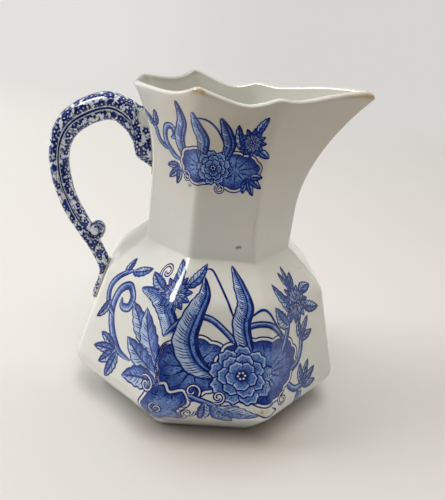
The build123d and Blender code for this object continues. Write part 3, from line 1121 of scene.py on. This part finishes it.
def press_print(name, sheet, wrap, first_side, shift=0.0):
    """Mesh of a whole sheet on the jug, with a UV map in millimetres of the sheet.

    The attribute "across" goes from 0 on the left line of a patch to 1 on its right line.
    """
    points, faces, inks, spots, normals, across = [], [], [], [], [], []
    levels = stacking(sheet.patches)
    for (left, right, ink), level in zip(sheet.patches, levels):
        rows = refine(left, right)
        parts = max(1, math.ceil(max(abs(a - b) for a, b in rows) / FINE_STEP))
        first = len(points)
        for a, b in rows:
            for part in range(parts + 1):
                flat = a + (b - a) * part / parts
                place, outward = lifted(wrap, flat + shift, first_side, SHEET_LIFT + level * INK_LIFT)
                points.append(place * MM)
                normals.append(outward)
                spots.append((flat.real, flat.imag))
                across.append(part / parts)
        for row in range(len(rows) - 1):
            for part in range(parts):
                corner = first + row * (parts + 1) + part
                faces.append((corner, corner + 1, corner + parts + 2, corner + parts + 1))
                inks.append(INKS.index(ink))
    mesh = bpy.data.meshes.new(name)
    mesh.from_pydata(points, [], faces)
    mesh.polygons.foreach_set("material_index", inks)
    uv_map = mesh.uv_layers.new(name="sheet")
    for loop in mesh.loops:
        uv_map.data[loop.index].uv = spots[loop.vertex_index]
    mesh.attributes.new("across", "FLOAT", "POINT").data.foreach_set("value", across)
    turned = [face for face in mesh.polygons if face.normal.dot(normals[face.vertices[0]]) < 0]
    for face in turned:
        face.flip()
    mesh.polygons.foreach_set("use_smooth", [True] * len(faces))
    mesh.normals_split_custom_set_from_vertices(normals)
    piece = bpy.data.objects.new(name, mesh)
    bpy.context.collection.objects.link(piece)
    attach(piece, "root")
    print(name, len(faces), "faces in", max(levels) + 1, "layers")
    return piece


belly_sheet, neck_sheet = Sheet(pen=1.7), Sheet(pen=1.25)
belly_design(belly_sheet)
neck_design(neck_sheet)
prints = [
    press_print("belly_print_front", belly_sheet, on_belly, FRONT),
    press_print("belly_print_back", belly_sheet, on_belly, BACK),
    press_print("neck_print_front", neck_sheet, on_neck, FRONT),
    press_print("neck_print_back", neck_sheet, on_neck, BACK, BACK_NECK_SHIFT),
]

# %% [markdown]
# ## Reading a material
# Every finish here is a clear glaze over something: white clay, blue print, brown stain. The helpers
# below keep the node work short: each adds its nodes to the tree that its inputs come from and gives
# back an output, so a mask reads like a sum. A pattern that several finishes share is built once as a
# node group that puts out a mask, and the shader stays in each material.

# %% Node helpers
def is_socket(value):
    return isinstance(value, bpy.types.NodeSocket)


def fill(node, **inputs):
    """Give a node its inputs, by name or as i and a number: plain values or other nodes' outputs."""
    for name, value in inputs.items():
        socket = node.inputs[int(name[1:]) if name[1:].isdigit() else name.replace("_", " ")]
        if is_socket(value):
            node.id_data.links.new(value, socket)
        else:
            socket.default_value = value
    return node


def add_node(kind, settings=None, **inputs):
    tree = next(value.id_data for value in inputs.values() if is_socket(value))
    node = tree.nodes.new("ShaderNode" + kind)
    for name, value in (settings or {}).items():
        setattr(node, name, value)
    return fill(node, **inputs)


def read(near, kind, output, **settings):
    """An output of a new node that has no inputs, in the same tree as a node or socket."""
    node = near.id_data.nodes.new("ShaderNode" + kind)
    for name, value in settings.items():
        setattr(node, name, value)
    return node.outputs[output]


def math_node(operation, first, *others):
    """A math node of one value, or a row of them that takes in the others one after another."""
    settings = {"operation": operation}
    if not others:
        return add_node("Math", settings, i0=first).outputs[0]
    for other in others:
        first = add_node("Math", settings, i0=first, i1=other).outputs[0]
    return first


def times(*values):
    return math_node("MULTIPLY", *values)


def plus(*values):
    return math_node("ADD", *values)


def minus(*values):
    return math_node("SUBTRACT", *values)


def largest(*values):
    return math_node("MAXIMUM", *values)


def without(mask):
    """The mask of everything that a mask leaves free."""
    return minus(1.0, mask)


def vector_math(operation, output="Vector", **inputs):
    return add_node("VectorMath", {"operation": operation}, **inputs).outputs[output]


def gap_to(place, middle):
    return vector_math("DISTANCE", "Value", i0=place, i1=middle)


def fade(value, low, high, to_low=0.0, to_high=1.0):
    """Smooth step from to_low to to_high as value goes from low to high."""
    node = add_node("MapRange", {"interpolation_type": "SMOOTHSTEP"}, Value=value,
                    From_Min=low, From_Max=high, To_Min=to_low, To_Max=to_high)
    return node.outputs["Result"]


def clouds(place, scale, detail=2.0, roughness=0.5, output="Fac"):
    node = add_node("TexNoise", Vector=place, Scale=scale, Detail=detail, Roughness=roughness)
    return node.outputs[output]


def blend(share, first, second):
    return add_node("Mix", {"data_type": "RGBA"}, i0=share, i6=first, i7=second).outputs[2]


def blend_values(share, first, second):
    return add_node("Mix", i0=share, i2=first, i3=second).outputs[0]


def axes(vector):
    return list(add_node("SeparateXYZ", Vector=vector).outputs)


def new_finish(name):
    """A new material, its shader and the place on the object."""
    material = bpy.data.materials.new(name)
    material.use_nodes = True
    shader = material.node_tree.nodes["Principled BSDF"]
    return material, shader, read(shader, "TexCoord", "Object")


def new_group(name, inputs, output, kind):
    """A node group with named inputs, each (name, type, default), and one output."""
    group = bpy.data.node_groups.new(name, "ShaderNodeTree")
    for label, type_of, default in inputs:
        socket = group.interface.new_socket(label, in_out="INPUT", socket_type="NodeSocket" + type_of)
        socket.default_value = default
    group.interface.new_socket(output, in_out="OUTPUT", socket_type="NodeSocket" + kind)
    return group, group.nodes.new("NodeGroupInput").outputs, group.nodes.new("NodeGroupOutput")


def use_group(group, output, place, **inputs):
    node = place.id_data.nodes.new("ShaderNodeGroup")
    node.node_tree = group
    return fill(node, Place=place, **inputs).outputs[output]


print("node helpers ready")

# %% [markdown]
# ## Shared marks of firing and age
# *Glaze skin* is the faint waviness of a glaze that ran while it was molten; it only bends the
# reflections. *Stain patch* is a ragged brown patch round one place, where the glaze is chipped or worn
# off and the clay has taken up tea and dust. *Kiln specks* are tiny dark grains scattered in the glaze.

# %% Shared groups
PLACE_INPUT = ("Place", "Vector", (0, 0, 0))


def make_glaze_skin():
    group, given, end = new_group("glaze_skin", [PLACE_INPUT, ("Ripple", "Float", 0.25)], "Normal", "Vector")
    broad = clouds(given["Place"], 90.0, 1.0)
    fine = clouds(given["Place"], 420.0, 1.0)
    height = plus(broad, times(fine, 0.12))
    bump = add_node("Bump", Strength=given["Ripple"], Distance=0.0006, Height=height)
    fill(end, Normal=bump.outputs["Normal"])
    return group


def make_stain_patch():
    inputs = [PLACE_INPUT, ("Middle", "Vector", (0, 0, 0)), ("Reach", "Float", 0.004),
              ("Raggedness", "Float", 0.6)]
    group, given, end = new_group("stain_patch", inputs, "Mask", "Float")
    near = math_node("DIVIDE", gap_to(given["Place"], given["Middle"]), given["Reach"])
    grain = clouds(given["Place"], 700.0, 3.0, 0.65)
    ragged = times(minus(grain, 0.5), given["Raggedness"], 4.0)
    fill(end, Mask=fade(plus(near, ragged), 1.0, 0.45))
    return group


def make_kiln_specks():
    inputs = [PLACE_INPUT, ("Scale", "Float", 120.0), ("Share", "Float", 0.05)]
    group, given, end = new_group("kiln_specks", inputs, "Mask", "Float")
    cells = add_node("TexVoronoi", Vector=given["Place"], Scale=given["Scale"]).outputs
    chosen = add_node("SeparateColor", Color=cells["Color"]).outputs["Red"]
    rare = math_node("LESS_THAN", chosen, given["Share"])
    fill(end, Mask=times(fade(cells["Distance"], 0.035, 0.015), rare))
    return group


BODY_RIPPLE, PRINT_RIPPLE, SLIP_RIPPLE = 0.3, 0.45, 0.5
GLAZED, PRINT_GLAZED, WORN_DULL = 0.09, 0.10, 0.75      # roughness of whole and of worn glaze


def glaze(shader, place, colour, roughness, ripple):
    """Glaze over a colour: how dull it is, and how much its skin ripples."""
    skin = use_group(glaze_skin, "Normal", place, Ripple=ripple)
    fill(shader, Base_Color=colour, Roughness=roughness, Normal=skin)


def patch_at(place, middle, reach, raggedness):
    """Stain patch round a place given in millimetres."""
    return use_group(stain_patch, "Mask", place, Middle=Vector(middle) * MM, Reach=reach * MM,
                     Raggedness=raggedness)


glaze_skin = make_glaze_skin()
stain_patch = make_stain_patch()
kiln_specks = make_kiln_specks()
print("node groups", [group.name for group in bpy.data.node_groups])

# %% [markdown]
# ## White glaze
# The clay is a warm white. The glaze lies a little thicker and greener in the crease below the neck
# and inside the jug, and the inside is darkened with painted shade as well, most on the handle side.
# The outer neck carries a warm painted shade that grows towards the rim and stays off the faces that
# look up and off most of the handle side. The glaze is worn through to brown on the raised front
# corner of the rim, along the tip of the spout and at the handle, and the foot ring was wiped bare
# before firing. A hair crack runs up the front side of the neck, and a few smudges of ink and kiln
# specks lie here and there.

# %% White glaze
WARM_WHITE = (0.76, 0.75, 0.705, 1)
COOL_WHITE = (0.70, 0.71, 0.675, 1)
POOLED_GLAZE = (0.60, 0.625, 0.585, 1)
# The inside glaze is greener than the white and darker with painted shade; the next colour is painted shade
# for the inside on the handle side.
INSIDE_GLAZE_AND_SHADE = (0.68, 0.68, 0.62, 1)
INSIDE_PAINTED_SHADE = (0.49, 0.485, 0.43, 1)
# Warm painted shade on the outer faces of the neck that don't look up.
PAINTED_SHADE_WHITE = (0.59, 0.545, 0.47, 1)
BARE_CLAY = (0.56, 0.47, 0.34, 1)
TEA_BROWN = (0.34, 0.19, 0.07, 1)
GOLDEN_CLAY = (0.60, 0.45, 0.25, 1)
TEA_GOLD = (0.44, 0.28, 0.11, 1)
SMUDGE_BLUE = (0.10, 0.14, 0.27, 1)
SPECK_BROWN = (0.10, 0.055, 0.03, 1)
WORN_PLACES = [               # middle in millimetres, reach, raggedness, strength
    ((-20.8, -46.6, 149.6), 3.0, 0.30, 0.75), ((-17.0, -47.2, 149.0), 3.2, 0.35, 0.95),
    ((-12.6, -47.8, 148.4), 2.6, 0.45, 0.8), ((-20.4, 46.2, 149.5), 3.0, 0.6, 0.6),
    ((22.8, -63.0, 19.0), 3.4, 1.0, 0.30),
]
LONE_SPOTS = [((-11.0, -64.0, 17.2), 0.75), ((22.6, -63.0, 19.6), 1.2), ((38.6, -20.0, 71.0), 0.5)]
BLUE_SMUDGES = [((5.2, -34.7, 83.8), 1.0), ((6.6, -34.7, 84.1), 0.8), ((-17.9, -31.4, 108.7), 1.0)]

# A pair is the stretch in metres over which a mark fades in, or out if it starts at the larger number.
# Two more numbers say how strong the mark is at its two ends.
INWARD = (0.004, -0.004)
POOL_FOOT, POOL_TOP = (0.0755, 0.0772), (0.0830, 0.0786)
# Painted shade inside the jug, fading in towards the handle side:
INSIDE_SHADE_SIDE = (0.010, -0.030)
# Painted shade on the outer neck: it climbs with height and weakens towards the handle side.
SHADE_CLIMB, SHADE_SIDE = (0.072, 0.145), (-0.042, -0.018, 0.1, 1.0)
FOOT_RING = (0.0009, 0.0003)
LIP_TOP, LIP_START = (0.1504, 0.1516), (0.034, 0.060, 0.0, 0.8)
TIP_TOP, TIP_START = (0.1494, 0.1512), (0.0625, 0.0645, 0.0, 0.8)
CRACK_FOOT, CRACK_TOP, CRACK_FRONT = (0.082, 0.086), (0.107, 0.099), (-0.030, -0.033)
CRACK_SIDES = (0.00016, 0.00006)
CRACK_AT, CRACK_SWAY = 0.0112, 0.0012       # metres towards the spout, and how far it wanders


def lip_wear(x, z, grain, outside, facing_up):
    """Wear along the edge of the spout, strongest at its tip."""
    edge = plus(z, times(grain, 0.0012))
    lip = times(fade(edge, *LIP_TOP), fade(x, *LIP_START), fade(facing_up, 0.93, 0.75), outside)
    return largest(lip, times(fade(edge, *TIP_TOP), fade(x, *TIP_START)))


def hair_crack(place):
    """One thin brown line up the front of the neck."""
    x, y, z = axes(place)
    sideways = minus(x, plus(CRACK_AT, times(clouds(place, 160.0), CRACK_SWAY)))
    hair = fade(math_node("ABSOLUTE", sideways), *CRACK_SIDES)
    span = times(fade(z, *CRACK_FOOT), fade(z, *CRACK_TOP), fade(y, *CRACK_FRONT))
    return times(hair, times(span, 0.30))


def make_white_glaze():
    material, shader, place = new_finish("white_glaze")
    x, _, z = axes(place)
    normal = read(place, "NewGeometry", "Normal")
    facing_up = axes(normal)[2]
    level_place = vector_math("MULTIPLY", i0=place, i1=(1, 1, 0))
    inside = fade(vector_math("DOT_PRODUCT", "Value", i0=level_place, i1=normal), *INWARD)
    outside = without(inside)
    colour = blend(fade(clouds(place, 22.0, 3.0), 0.35, 0.65), WARM_WHITE, COOL_WHITE)
    pooled = times(fade(z, *POOL_FOOT), fade(z, *POOL_TOP), 0.12)
    colour = blend(pooled, colour, POOLED_GLAZE)
    # Inside: greener glaze with painted shade, and more painted shade towards the handle side.
    colour = blend(inside, colour, blend(fade(x, *INSIDE_SHADE_SIDE), INSIDE_GLAZE_AND_SHADE, INSIDE_PAINTED_SHADE))
    upright = times(outside, fade(facing_up, 0.5, 0.2))
    # Warm painted shade on the outer faces that don't face up, growing towards the rim, weak on the handle
    # side.
    colour = blend(times(fade(z, *SHADE_CLIMB), fade(x, *SHADE_SIDE), upright), colour, PAINTED_SHADE_WHITE)
    grain = clouds(place, 900.0, 3.0)
    worn = largest(*(
        times(patch_at(place, middle, reach, ragged), strength)
        for middle, reach, ragged, strength in WORN_PLACES
    ))
    worn = largest(worn, lip_wear(x, z, grain, outside, facing_up))
    colour = blend(worn, colour, blend(fade(grain, 0.30, 0.75), GOLDEN_CLAY, TEA_GOLD))
    for middle, reach in BLUE_SMUDGES:
        colour = blend(times(patch_at(place, middle, reach, 0.5), 0.75), colour, SMUDGE_BLUE)
    bare = fade(z, *FOOT_RING)
    colour = blend(times(bare, 0.8), colour, BARE_CLAY)
    spots = largest(*(patch_at(place, middle, reach, 0.3) for middle, reach in LONE_SPOTS))
    colour = blend(times(spots, 0.55), colour, TEA_BROWN)
    colour = blend(hair_crack(place), colour, TEA_BROWN)
    specks = use_group(kiln_specks, "Mask", place, Scale=110.0, Share=0.045)
    colour = blend(times(specks, 0.6), colour, SPECK_BROWN)
    dull = largest(bare, times(worn, 0.7))
    glaze(shader, place, colour, fade(dull, 0.0, 1.0, GLAZED, WORN_DULL), BODY_RIPPLE)
    return material


def give_finish(piece, *materials):
    """Fill the material slots of a piece; its faces keep the slot numbers that they have."""
    slots = piece.data.materials
    for number, material in enumerate(materials):
        if number < len(slots):
            slots[number] = material
        else:
            slots.append(material)


white_glaze = make_white_glaze()
give_finish(jug_body, white_glaze)
print("white glaze on the jug body")

# %% [markdown]
# ## The printed inks
# The print has one cobalt ink, laid full strength for lines and thinned for the areas between. Thin
# areas are stippled with fine dashes, as an engraver shades them, and the ink took unevenly, so its
# strength drifts over the sheet. All of it lies under the same glaze as the white.

# %% Inks
DEEP_COBALT = (0.003, 0.008, 0.095, 1)
SOFT_COBALT = (0.009, 0.032, 0.24, 1)
WASH_BLUE = (0.085, 0.18, 0.48, 1)
WASH_LIGHT = (0.18, 0.30, 0.62, 1)
PALE_BLUE = (0.52, 0.61, 0.76, 1)
PALE_WASH = (0.30, 0.43, 0.68, 1)
DASH_SHAPE, DASH_SLANT = (0.46, 1.05, 1), (0, 0, 0.5)


def dash_mask(sheet):
    """Short slanting dashes of the engraver, along lines that sway a little."""
    sway = clouds(sheet, 0.10, 1.0, output="Color")
    bent = vector_math("MULTIPLY_ADD", i0=sway, i1=(9, 9, 0), i2=sheet)
    drawn = add_node("Mapping", Vector=bent, Rotation=DASH_SLANT, Scale=DASH_SHAPE).outputs["Vector"]
    cells = add_node("TexVoronoi", {"voronoi_dimensions": "2D"}, Vector=drawn, Scale=1.0, Randomness=0.75)
    return fade(cells.outputs["Distance"], 0.30, 0.22)


def make_ink(name, light, strong, dashes=0.0, shading=0.0):
    """Glazed print: ink that drifts between two strengths, with dashes, and darker to one side."""
    material, shader, place = new_finish(name)
    sheet = read(place, "UVMap", "UV", uv_map="sheet")
    drift = clouds(sheet, 0.16, 3.0)
    strength = plus(drift, times(clouds(sheet, 2.2), 0.35))
    colour = blend(fade(strength, 0.48, 0.86), light, strong)
    if dashes:
        colour = blend(times(dash_mask(sheet), dashes), colour, SOFT_COBALT)
    if shading:
        across = read(place, "Attribute", "Fac", attribute_name="across")
        shade = fade(plus(across, times(drift, 0.7)), 0.72, 1.30)
        colour = blend(times(shade, shading), colour, SOFT_COBALT)
    glaze(shader, place, colour, GLAZED, BODY_RIPPLE)
    return material


pale_ink = make_ink("pale_blue_ink", PALE_BLUE, PALE_WASH, shading=0.35)
wash_ink = make_ink("wash_blue_ink", WASH_LIGHT, WASH_BLUE, dashes=0.85, shading=0.9)
line_ink = make_ink("deep_cobalt_ink", SOFT_COBALT, DEEP_COBALT)
for sheet_piece in prints:
    give_finish(sheet_piece, white_glaze, pale_ink, wash_ink, line_ink)
print("inks on", len(prints), "sheets")

# %% [markdown]
# ## The sheet pattern on the handle
# The handle is wrapped in a cut of all-over printed paper: small five-petalled florets, packed closely,
# with stems between. On a real sheet they repeat, but crumpled round the handle no two look alike. A
# Voronoi texture in the unrolled millimetres of the skin gives one floret for each cell, and the angle
# round the middle of the cell makes the petals. A painted line follows the groove between the strands
# of the handle, and another one the edge of the scroll, each with a clear strip beside it.

# %% Floret print
GROUND_WHITE = (0.78, 0.81, 0.84, 1)
BLEED_BLUE = (0.30, 0.42, 0.68, 1)
FLORET_SPACING = 3.5          # millimetres
FLORET_SCATTER = 0.85
PETALS, FULL_TURN = 5.0, 6.3
HANDLE_LINE = (-0.08, 0.10, 0.70, 1.0)      # how far across it lies, from where to where, width
SCROLL_EDGE_LINE = (-0.55, 0.02, 0.80, 1.3)
HANDLE_PATCH = ((-39.0, -3.5, 130.0), 5.0)  # where the paper left the clay white, and how far
SCROLL_PATCH = ((-54.6, -1.0, 61.5), 3.4)


def floret_masks(sheet):
    """Petals of one floret in each Voronoi cell, with a white heart, and the bled blue round them."""
    paper = vector_math("SCALE", i0=sheet, Scale=1 / FLORET_SPACING)
    cells = add_node("TexVoronoi", {"voronoi_dimensions": "2D"}, Vector=paper, Scale=1.0,
                     Randomness=FLORET_SCATTER).outputs
    spoke = vector_math("SUBTRACT", i0=paper, i1=cells["Position"])
    chance = add_node("SeparateColor", Color=cells["Color"]).outputs["Red"]
    sideways, upward, _ = axes(spoke)
    angle = math_node("ARCTAN2", upward, sideways)
    turned = plus(times(angle, PETALS), times(chance, FULL_TURN))
    ragged = times(minus(clouds(paper, 3.2), 0.5), 0.30)
    away = plus(vector_math("LENGTH", "Value", i0=spoke), ragged)
    edge = minus(away, times(math_node("COSINE", turned), 0.075))
    petals = times(fade(edge, 0.480, 0.430), without(fade(away, 0.14, 0.09)))
    return petals, fade(edge, 0.60, 0.42)


def contour_mask(sheet, scale, width):
    """Thin wandering lines, where a noise passes through its middle value."""
    away = math_node("ABSOLUTE", minus(clouds(sheet, scale, 1.0), 0.5))
    return fade(away, width, width * 0.4)


def near_mask(place, middle, reach):
    """Soft-edged ball round a place given in millimetres."""
    return fade(gap_to(place, Vector(middle) * MM), reach * MM, reach * MM * 0.7)


def neck_joint_mask(place):
    """Stain that creeps out of the seam where the handle meets the flat back of the neck."""
    x, _, z = axes(place)
    above = largest(minus(z, FLARE_START * MM), 0.0)
    flared = math_node("DIVIDE", times(above, above), 2 * FLARE_RADIUS * MM)
    wall = times(plus(flared, NECK_RADIUS * MM), math.cos(math.pi / SIDES))
    clear = minus(times(x, -1.0), wall)
    creep = minus(clear, times(clouds(place, 330.0, 3.0), 0.0011))
    return times(fade(creep, 0.0006, 0.0), fade(z, 0.095, 0.100, 0.0, 0.85))


def line_masks(across, along, place, line):
    """The painted line that runs along a strand, and the clear strips beside it."""
    lies_at, start, end, width = line
    side = math_node("ABSOLUTE", minus(across, lies_at))
    side = plus(side, times(clouds(place, 160.0, 1.0), 0.05))
    here = times(fade(along, start, start + 0.04), fade(along, end, end - 0.04))
    painted = times(fade(side, 0.115 * width, 0.090 * width), here)
    return painted, times(fade(side, 0.20 * width, 0.16 * width), here)


def make_floret_print(name, line, fullness, bare_patch):
    material, shader, place = new_finish(name)
    sheet = read(place, "UVMap", "UV", uv_map="sheet")
    across, along, _ = axes(read(place, "UVMap", "UV", uv_map="place"))
    florets, bled = floret_masks(sheet)
    stems = times(contour_mask(sheet, 0.20, 0.028), 0.8)
    blotches = fade(clouds(sheet, 0.50, 1.0), fullness, fullness + 0.04)
    painted, cleared = line_masks(across, along, place, line)
    printed = times(largest(florets, largest(stems, blotches)), without(cleared))
    bare = near_mask(place, *bare_patch)
    printed = times(largest(printed, painted), without(bare))
    ink = blend(fade(clouds(sheet, 0.35), 0.42, 0.70), DEEP_COBALT, SOFT_COBALT)
    ink = blend(painted, ink, DEEP_COBALT)
    drift = fade(clouds(sheet, 0.5), 0.35, 0.70, 0.15, 0.9)
    bleed = times(largest(bled, 0.35), drift, without(bare))
    ground = blend(bare, blend(bleed, GROUND_WHITE, BLEED_BLUE), WARM_WHITE)
    colour = blend(printed, ground, ink)
    colour = blend(neck_joint_mask(place), colour, TEA_BROWN)
    glaze(shader, place, colour, PRINT_GLAZED, PRINT_RIPPLE)
    return material


def make_eye_white():
    """The eye of the scroll was left white, with a breath of blue from the ink round it."""
    material, shader, place = new_finish("eye_white")
    cloud = fade(clouds(place, 600.0), 0.45, 0.65, 0.0, 0.6)
    glaze(shader, place, blend(cloud, GROUND_WHITE, BLEED_BLUE), PRINT_GLAZED, PRINT_RIPPLE)
    return material


give_finish(jug_handle, make_floret_print("handle_floret_print", HANDLE_LINE, 0.57, HANDLE_PATCH))
give_finish(thumb_scroll, make_floret_print("scroll_floret_print", SCROLL_EDGE_LINE, 0.50, SCROLL_PATCH))
give_finish(scroll_eye, make_eye_white())
print("floret print on the handle and the scroll")

# %% [markdown]
# ## Luting slip
# Where the handle was stuck on, a little slip was squeezed out. The glaze is thin over its sharp edge,
# and at the neck dirt and tea have drawn a brown line along it, while the seam on the belly stayed
# cleaner. These two pieces keep their shape from the frame and only get a finish.

# %% Slip
SLIP_CREAM = (0.60, 0.56, 0.47, 1)
SLIP_DULLNESS = (0.22, 0.5)


def make_slip_finish(name, stain):
    material, shader, place = new_finish(name)
    grain = clouds(place, 420.0, 3.0)
    colour = blend(times(fade(grain, 0.34, 0.58), stain), SLIP_CREAM, TEA_BROWN)
    glaze(shader, place, colour, fade(grain, 0.3, 0.7, *SLIP_DULLNESS), SLIP_RIPPLE)
    return material


for node, stain in (("handle_upper_slip", 0.95), ("handle_lower_slip", 0.25)):
    give_finish(bpy.data.objects[node], make_slip_finish(node + "_finish", stain))
    print("slip finish on", node)

# %% [markdown]
# ## A white sheet to stand on
# The jug stands on a white sheet that curves up far behind it, so there is no edge between floor and
# wall. The plane is made by hand in edit mode: its back edge is extruded upwards and the fold beveled.

# %% Floor
SHEET_SIZE, SHEET_HEIGHT, FOLD_RADIUS = 5.0, 2.5, 1.0


def lay_floor():
    """A wide sheet that runs level under the jug and curves up far behind it."""
    clear_selection()
    bpy.ops.mesh.primitive_plane_add(size=SHEET_SIZE)
    floor = bpy.context.object
    floor.name = "white_floor"
    bpy.ops.object.mode_set(mode="EDIT")
    select_edges(floor, lambda v: v.co.y > 2.4)
    bpy.ops.mesh.extrude_edges_move(TRANSFORM_OT_translate={"value": (0, 0, SHEET_HEIGHT)})
    select_edges(floor, lambda v: v.co.y > 2.4 and abs(v.co.z) < 0.01)
    bpy.ops.mesh.bevel(offset=FOLD_RADIUS, segments=16, affect="EDGES")
    bpy.ops.object.mode_set(mode="OBJECT")
    bpy.ops.object.shade_smooth()
    return floor


floor = lay_floor()
print("floor", len(floor.data.polygons), "faces")

# %% [markdown]
# ## Lamps
# A wide window on the left gives the main light, a lamp high above the front and the sky behind soften
# it. A small bright pane does one thing only: the glaze mirrors it as a streak down the left front edge
# of the shoulder, so it is kept out of the diffuse light.

# %% Lamps
WHITE_LIGHT, WARM_LIGHT = (1.0, 1.0, 1.0), (1.0, 0.945, 0.87)
JUG_MIDDLE = Vector((0, 0, 0.07))
LAMPS = [                     # name, place, size, power in watts, colour, what doesn't see it
    ("left_window", (-1.10, 0.10, 0.85), 0.9, 10.2, WHITE_LIGHT, "visible_glossy"),
    ("ceiling_light", (0.08, -0.42, 1.42), 0.9, 7.7, WARM_LIGHT, "visible_glossy"),
    ("skylight_behind", (-0.10, 0.35, 1.45), 1.2, 8.0, WHITE_LIGHT, "visible_glossy"),
    ("bright_pane", (-0.61, -0.30, 0.90), 0.60, 20.0, WHITE_LIGHT, "visible_diffuse"),
]


def hang_lamp(name, place, size, power, colour, left_out):
    """A round lamp aimed at the jug; the camera and one more kind of ray don't see it."""
    bpy.ops.object.light_add(type="AREA", location=place)
    lamp = bpy.context.object
    lamp.name = name
    lamp.data.shape = "DISK"
    lamp.data.size = size
    lamp.data.energy = power
    lamp.data.color = colour
    lamp.rotation_euler = (JUG_MIDDLE - Vector(place)).to_track_quat("-Z", "Y").to_euler()
    lamp.visible_camera = False
    setattr(lamp, left_out, False)
    return lamp


lamps = [hang_lamp(*lamp) for lamp in LAMPS]
print("lamps", [lamp.name for lamp in lamps])

# %% [markdown]
# ## The room and the look of the sheet
# A glossy jug shows what stands round it. The world is brighter on the far side, where the white sheet
# hangs, and dim on the near side, where the room is; past the sheet's near hem the glaze mirrors the
# dark of the room. The sheet keeps its shadows, and for the camera it also has a painted shadow, a
# little darker and warmer, where the jug stands.
# Only for the camera does its far end glow by itself, as bright as its near end, and the hanging part
# shows nothing but that glow, so no extra light falls on the jug.

# %% Room
NEAR_SIDE, FAR_SIDE = 0.07, 0.85            # light of the room from the two sides of the jug
NEAR_MIRRORED, FAR_MIRRORED = 0.16, 0.90    # the room as the glaze mirrors it
NEAR_TO_FAR = (-0.4, 0.5)
ROOM_SEEN = 0.9
ROOM_LIGHT_COLOUR, ROOM_SEEN_COLOUR = (1.0, 0.96, 0.88, 1), (0.90, 0.89, 0.86, 1)
CLOTH_WHITES = (0.78, 0.77, 0.75, 1), (0.82, 0.81, 0.79, 1)
LYING_WHITE, BLACK = (0.73, 0.72, 0.70, 1), (0.0, 0.0, 0.0, 1)
# A painted shadow that only the camera sees on the sheet in front of the jug: its colour, middle and fade.
PAINTED_SHADOW_TONE, PAINTED_SHADOW_MIDDLE, PAINTED_SHADOW_EDGE = (0.64, 0.605, 0.56, 1), (0.006, -0.042, 0.0), (0.052, 0.026)
HANGING_FROM = (0.6, 1.45)                  # metres behind the jug where the camera's view changes
HEM, PAST_HEM = (-0.15, -0.22), (0.06, 0.06, 0.06, 1)
GLOW_COLOUR = (1.0, 0.985, 0.955, 1)
LYING_GLOW, HANGING_GLOW = (0.3, 2.0, 0.0, 0.40), (-0.5, 0.5, 0.77, 0.67)


def light_room():
    """A pale room: dim on the near side, with white sheets on the far side."""
    world = bpy.data.worlds.new("pale_room")
    world.use_nodes = True
    background = world.node_tree.nodes["Background"]
    camera_ray, glossy_ray = (read(background, "LightPath", f"Is {ray} Ray") for ray in ("Camera", "Glossy"))
    depth = axes(read(background, "TexCoord", "Generated"))[1]
    light = fade(depth, *NEAR_TO_FAR, NEAR_SIDE, FAR_SIDE)
    mirrored = fade(depth, *NEAR_TO_FAR, NEAR_MIRRORED, FAR_MIRRORED)
    strength = blend_values(camera_ray, blend_values(glossy_ray, light, mirrored), ROOM_SEEN)
    colour = blend(largest(camera_ray, glossy_ray), ROOM_LIGHT_COLOUR, ROOM_SEEN_COLOUR)
    fill(background, Color=colour, Strength=strength)
    bpy.context.scene.world = world


def paint_floor(piece):
    """White sheet: it keeps shadows, the camera sees a painted shadow where the jug stands, and its far end
    as bright as its near end.
    """
    material, shader, place = new_finish("white_sheet")
    camera_ray, glossy_ray = (read(place, "LightPath", f"Is {ray} Ray") for ray in ("Camera", "Glossy"))
    sideways, back, _ = axes(place)
    cloth = blend(clouds(place, 3.0), *CLOTH_WHITES)
    hanging = fade(back, *HANGING_FROM)
    # Painted shadow: a darker, warmer patch for the camera where the jug stands.
    painted_shadow = fade(gap_to(place, PAINTED_SHADOW_MIDDLE), *PAINTED_SHADOW_EDGE)
    seen = blend(hanging, blend(painted_shadow, LYING_WHITE, PAINTED_SHADOW_TONE), BLACK)
    colour = blend(times(fade(back, *HEM), glossy_ray), blend(camera_ray, cloth, seen), PAST_HEM)
    away = vector_math("LENGTH", "Value", i0=place)
    glow = blend_values(hanging, fade(away, *LYING_GLOW), fade(sideways, *HANGING_GLOW))
    fill(shader, Base_Color=colour, Roughness=0.9, Specular_IOR_Level=0.1,
         Emission_Color=GLOW_COLOUR, Emission_Strength=times(glow, camera_ray))
    give_finish(piece, material)


light_room()
paint_floor(floor)
bpy.context.scene.view_settings.view_transform = "Standard"
print("room is lit, sheet is white")
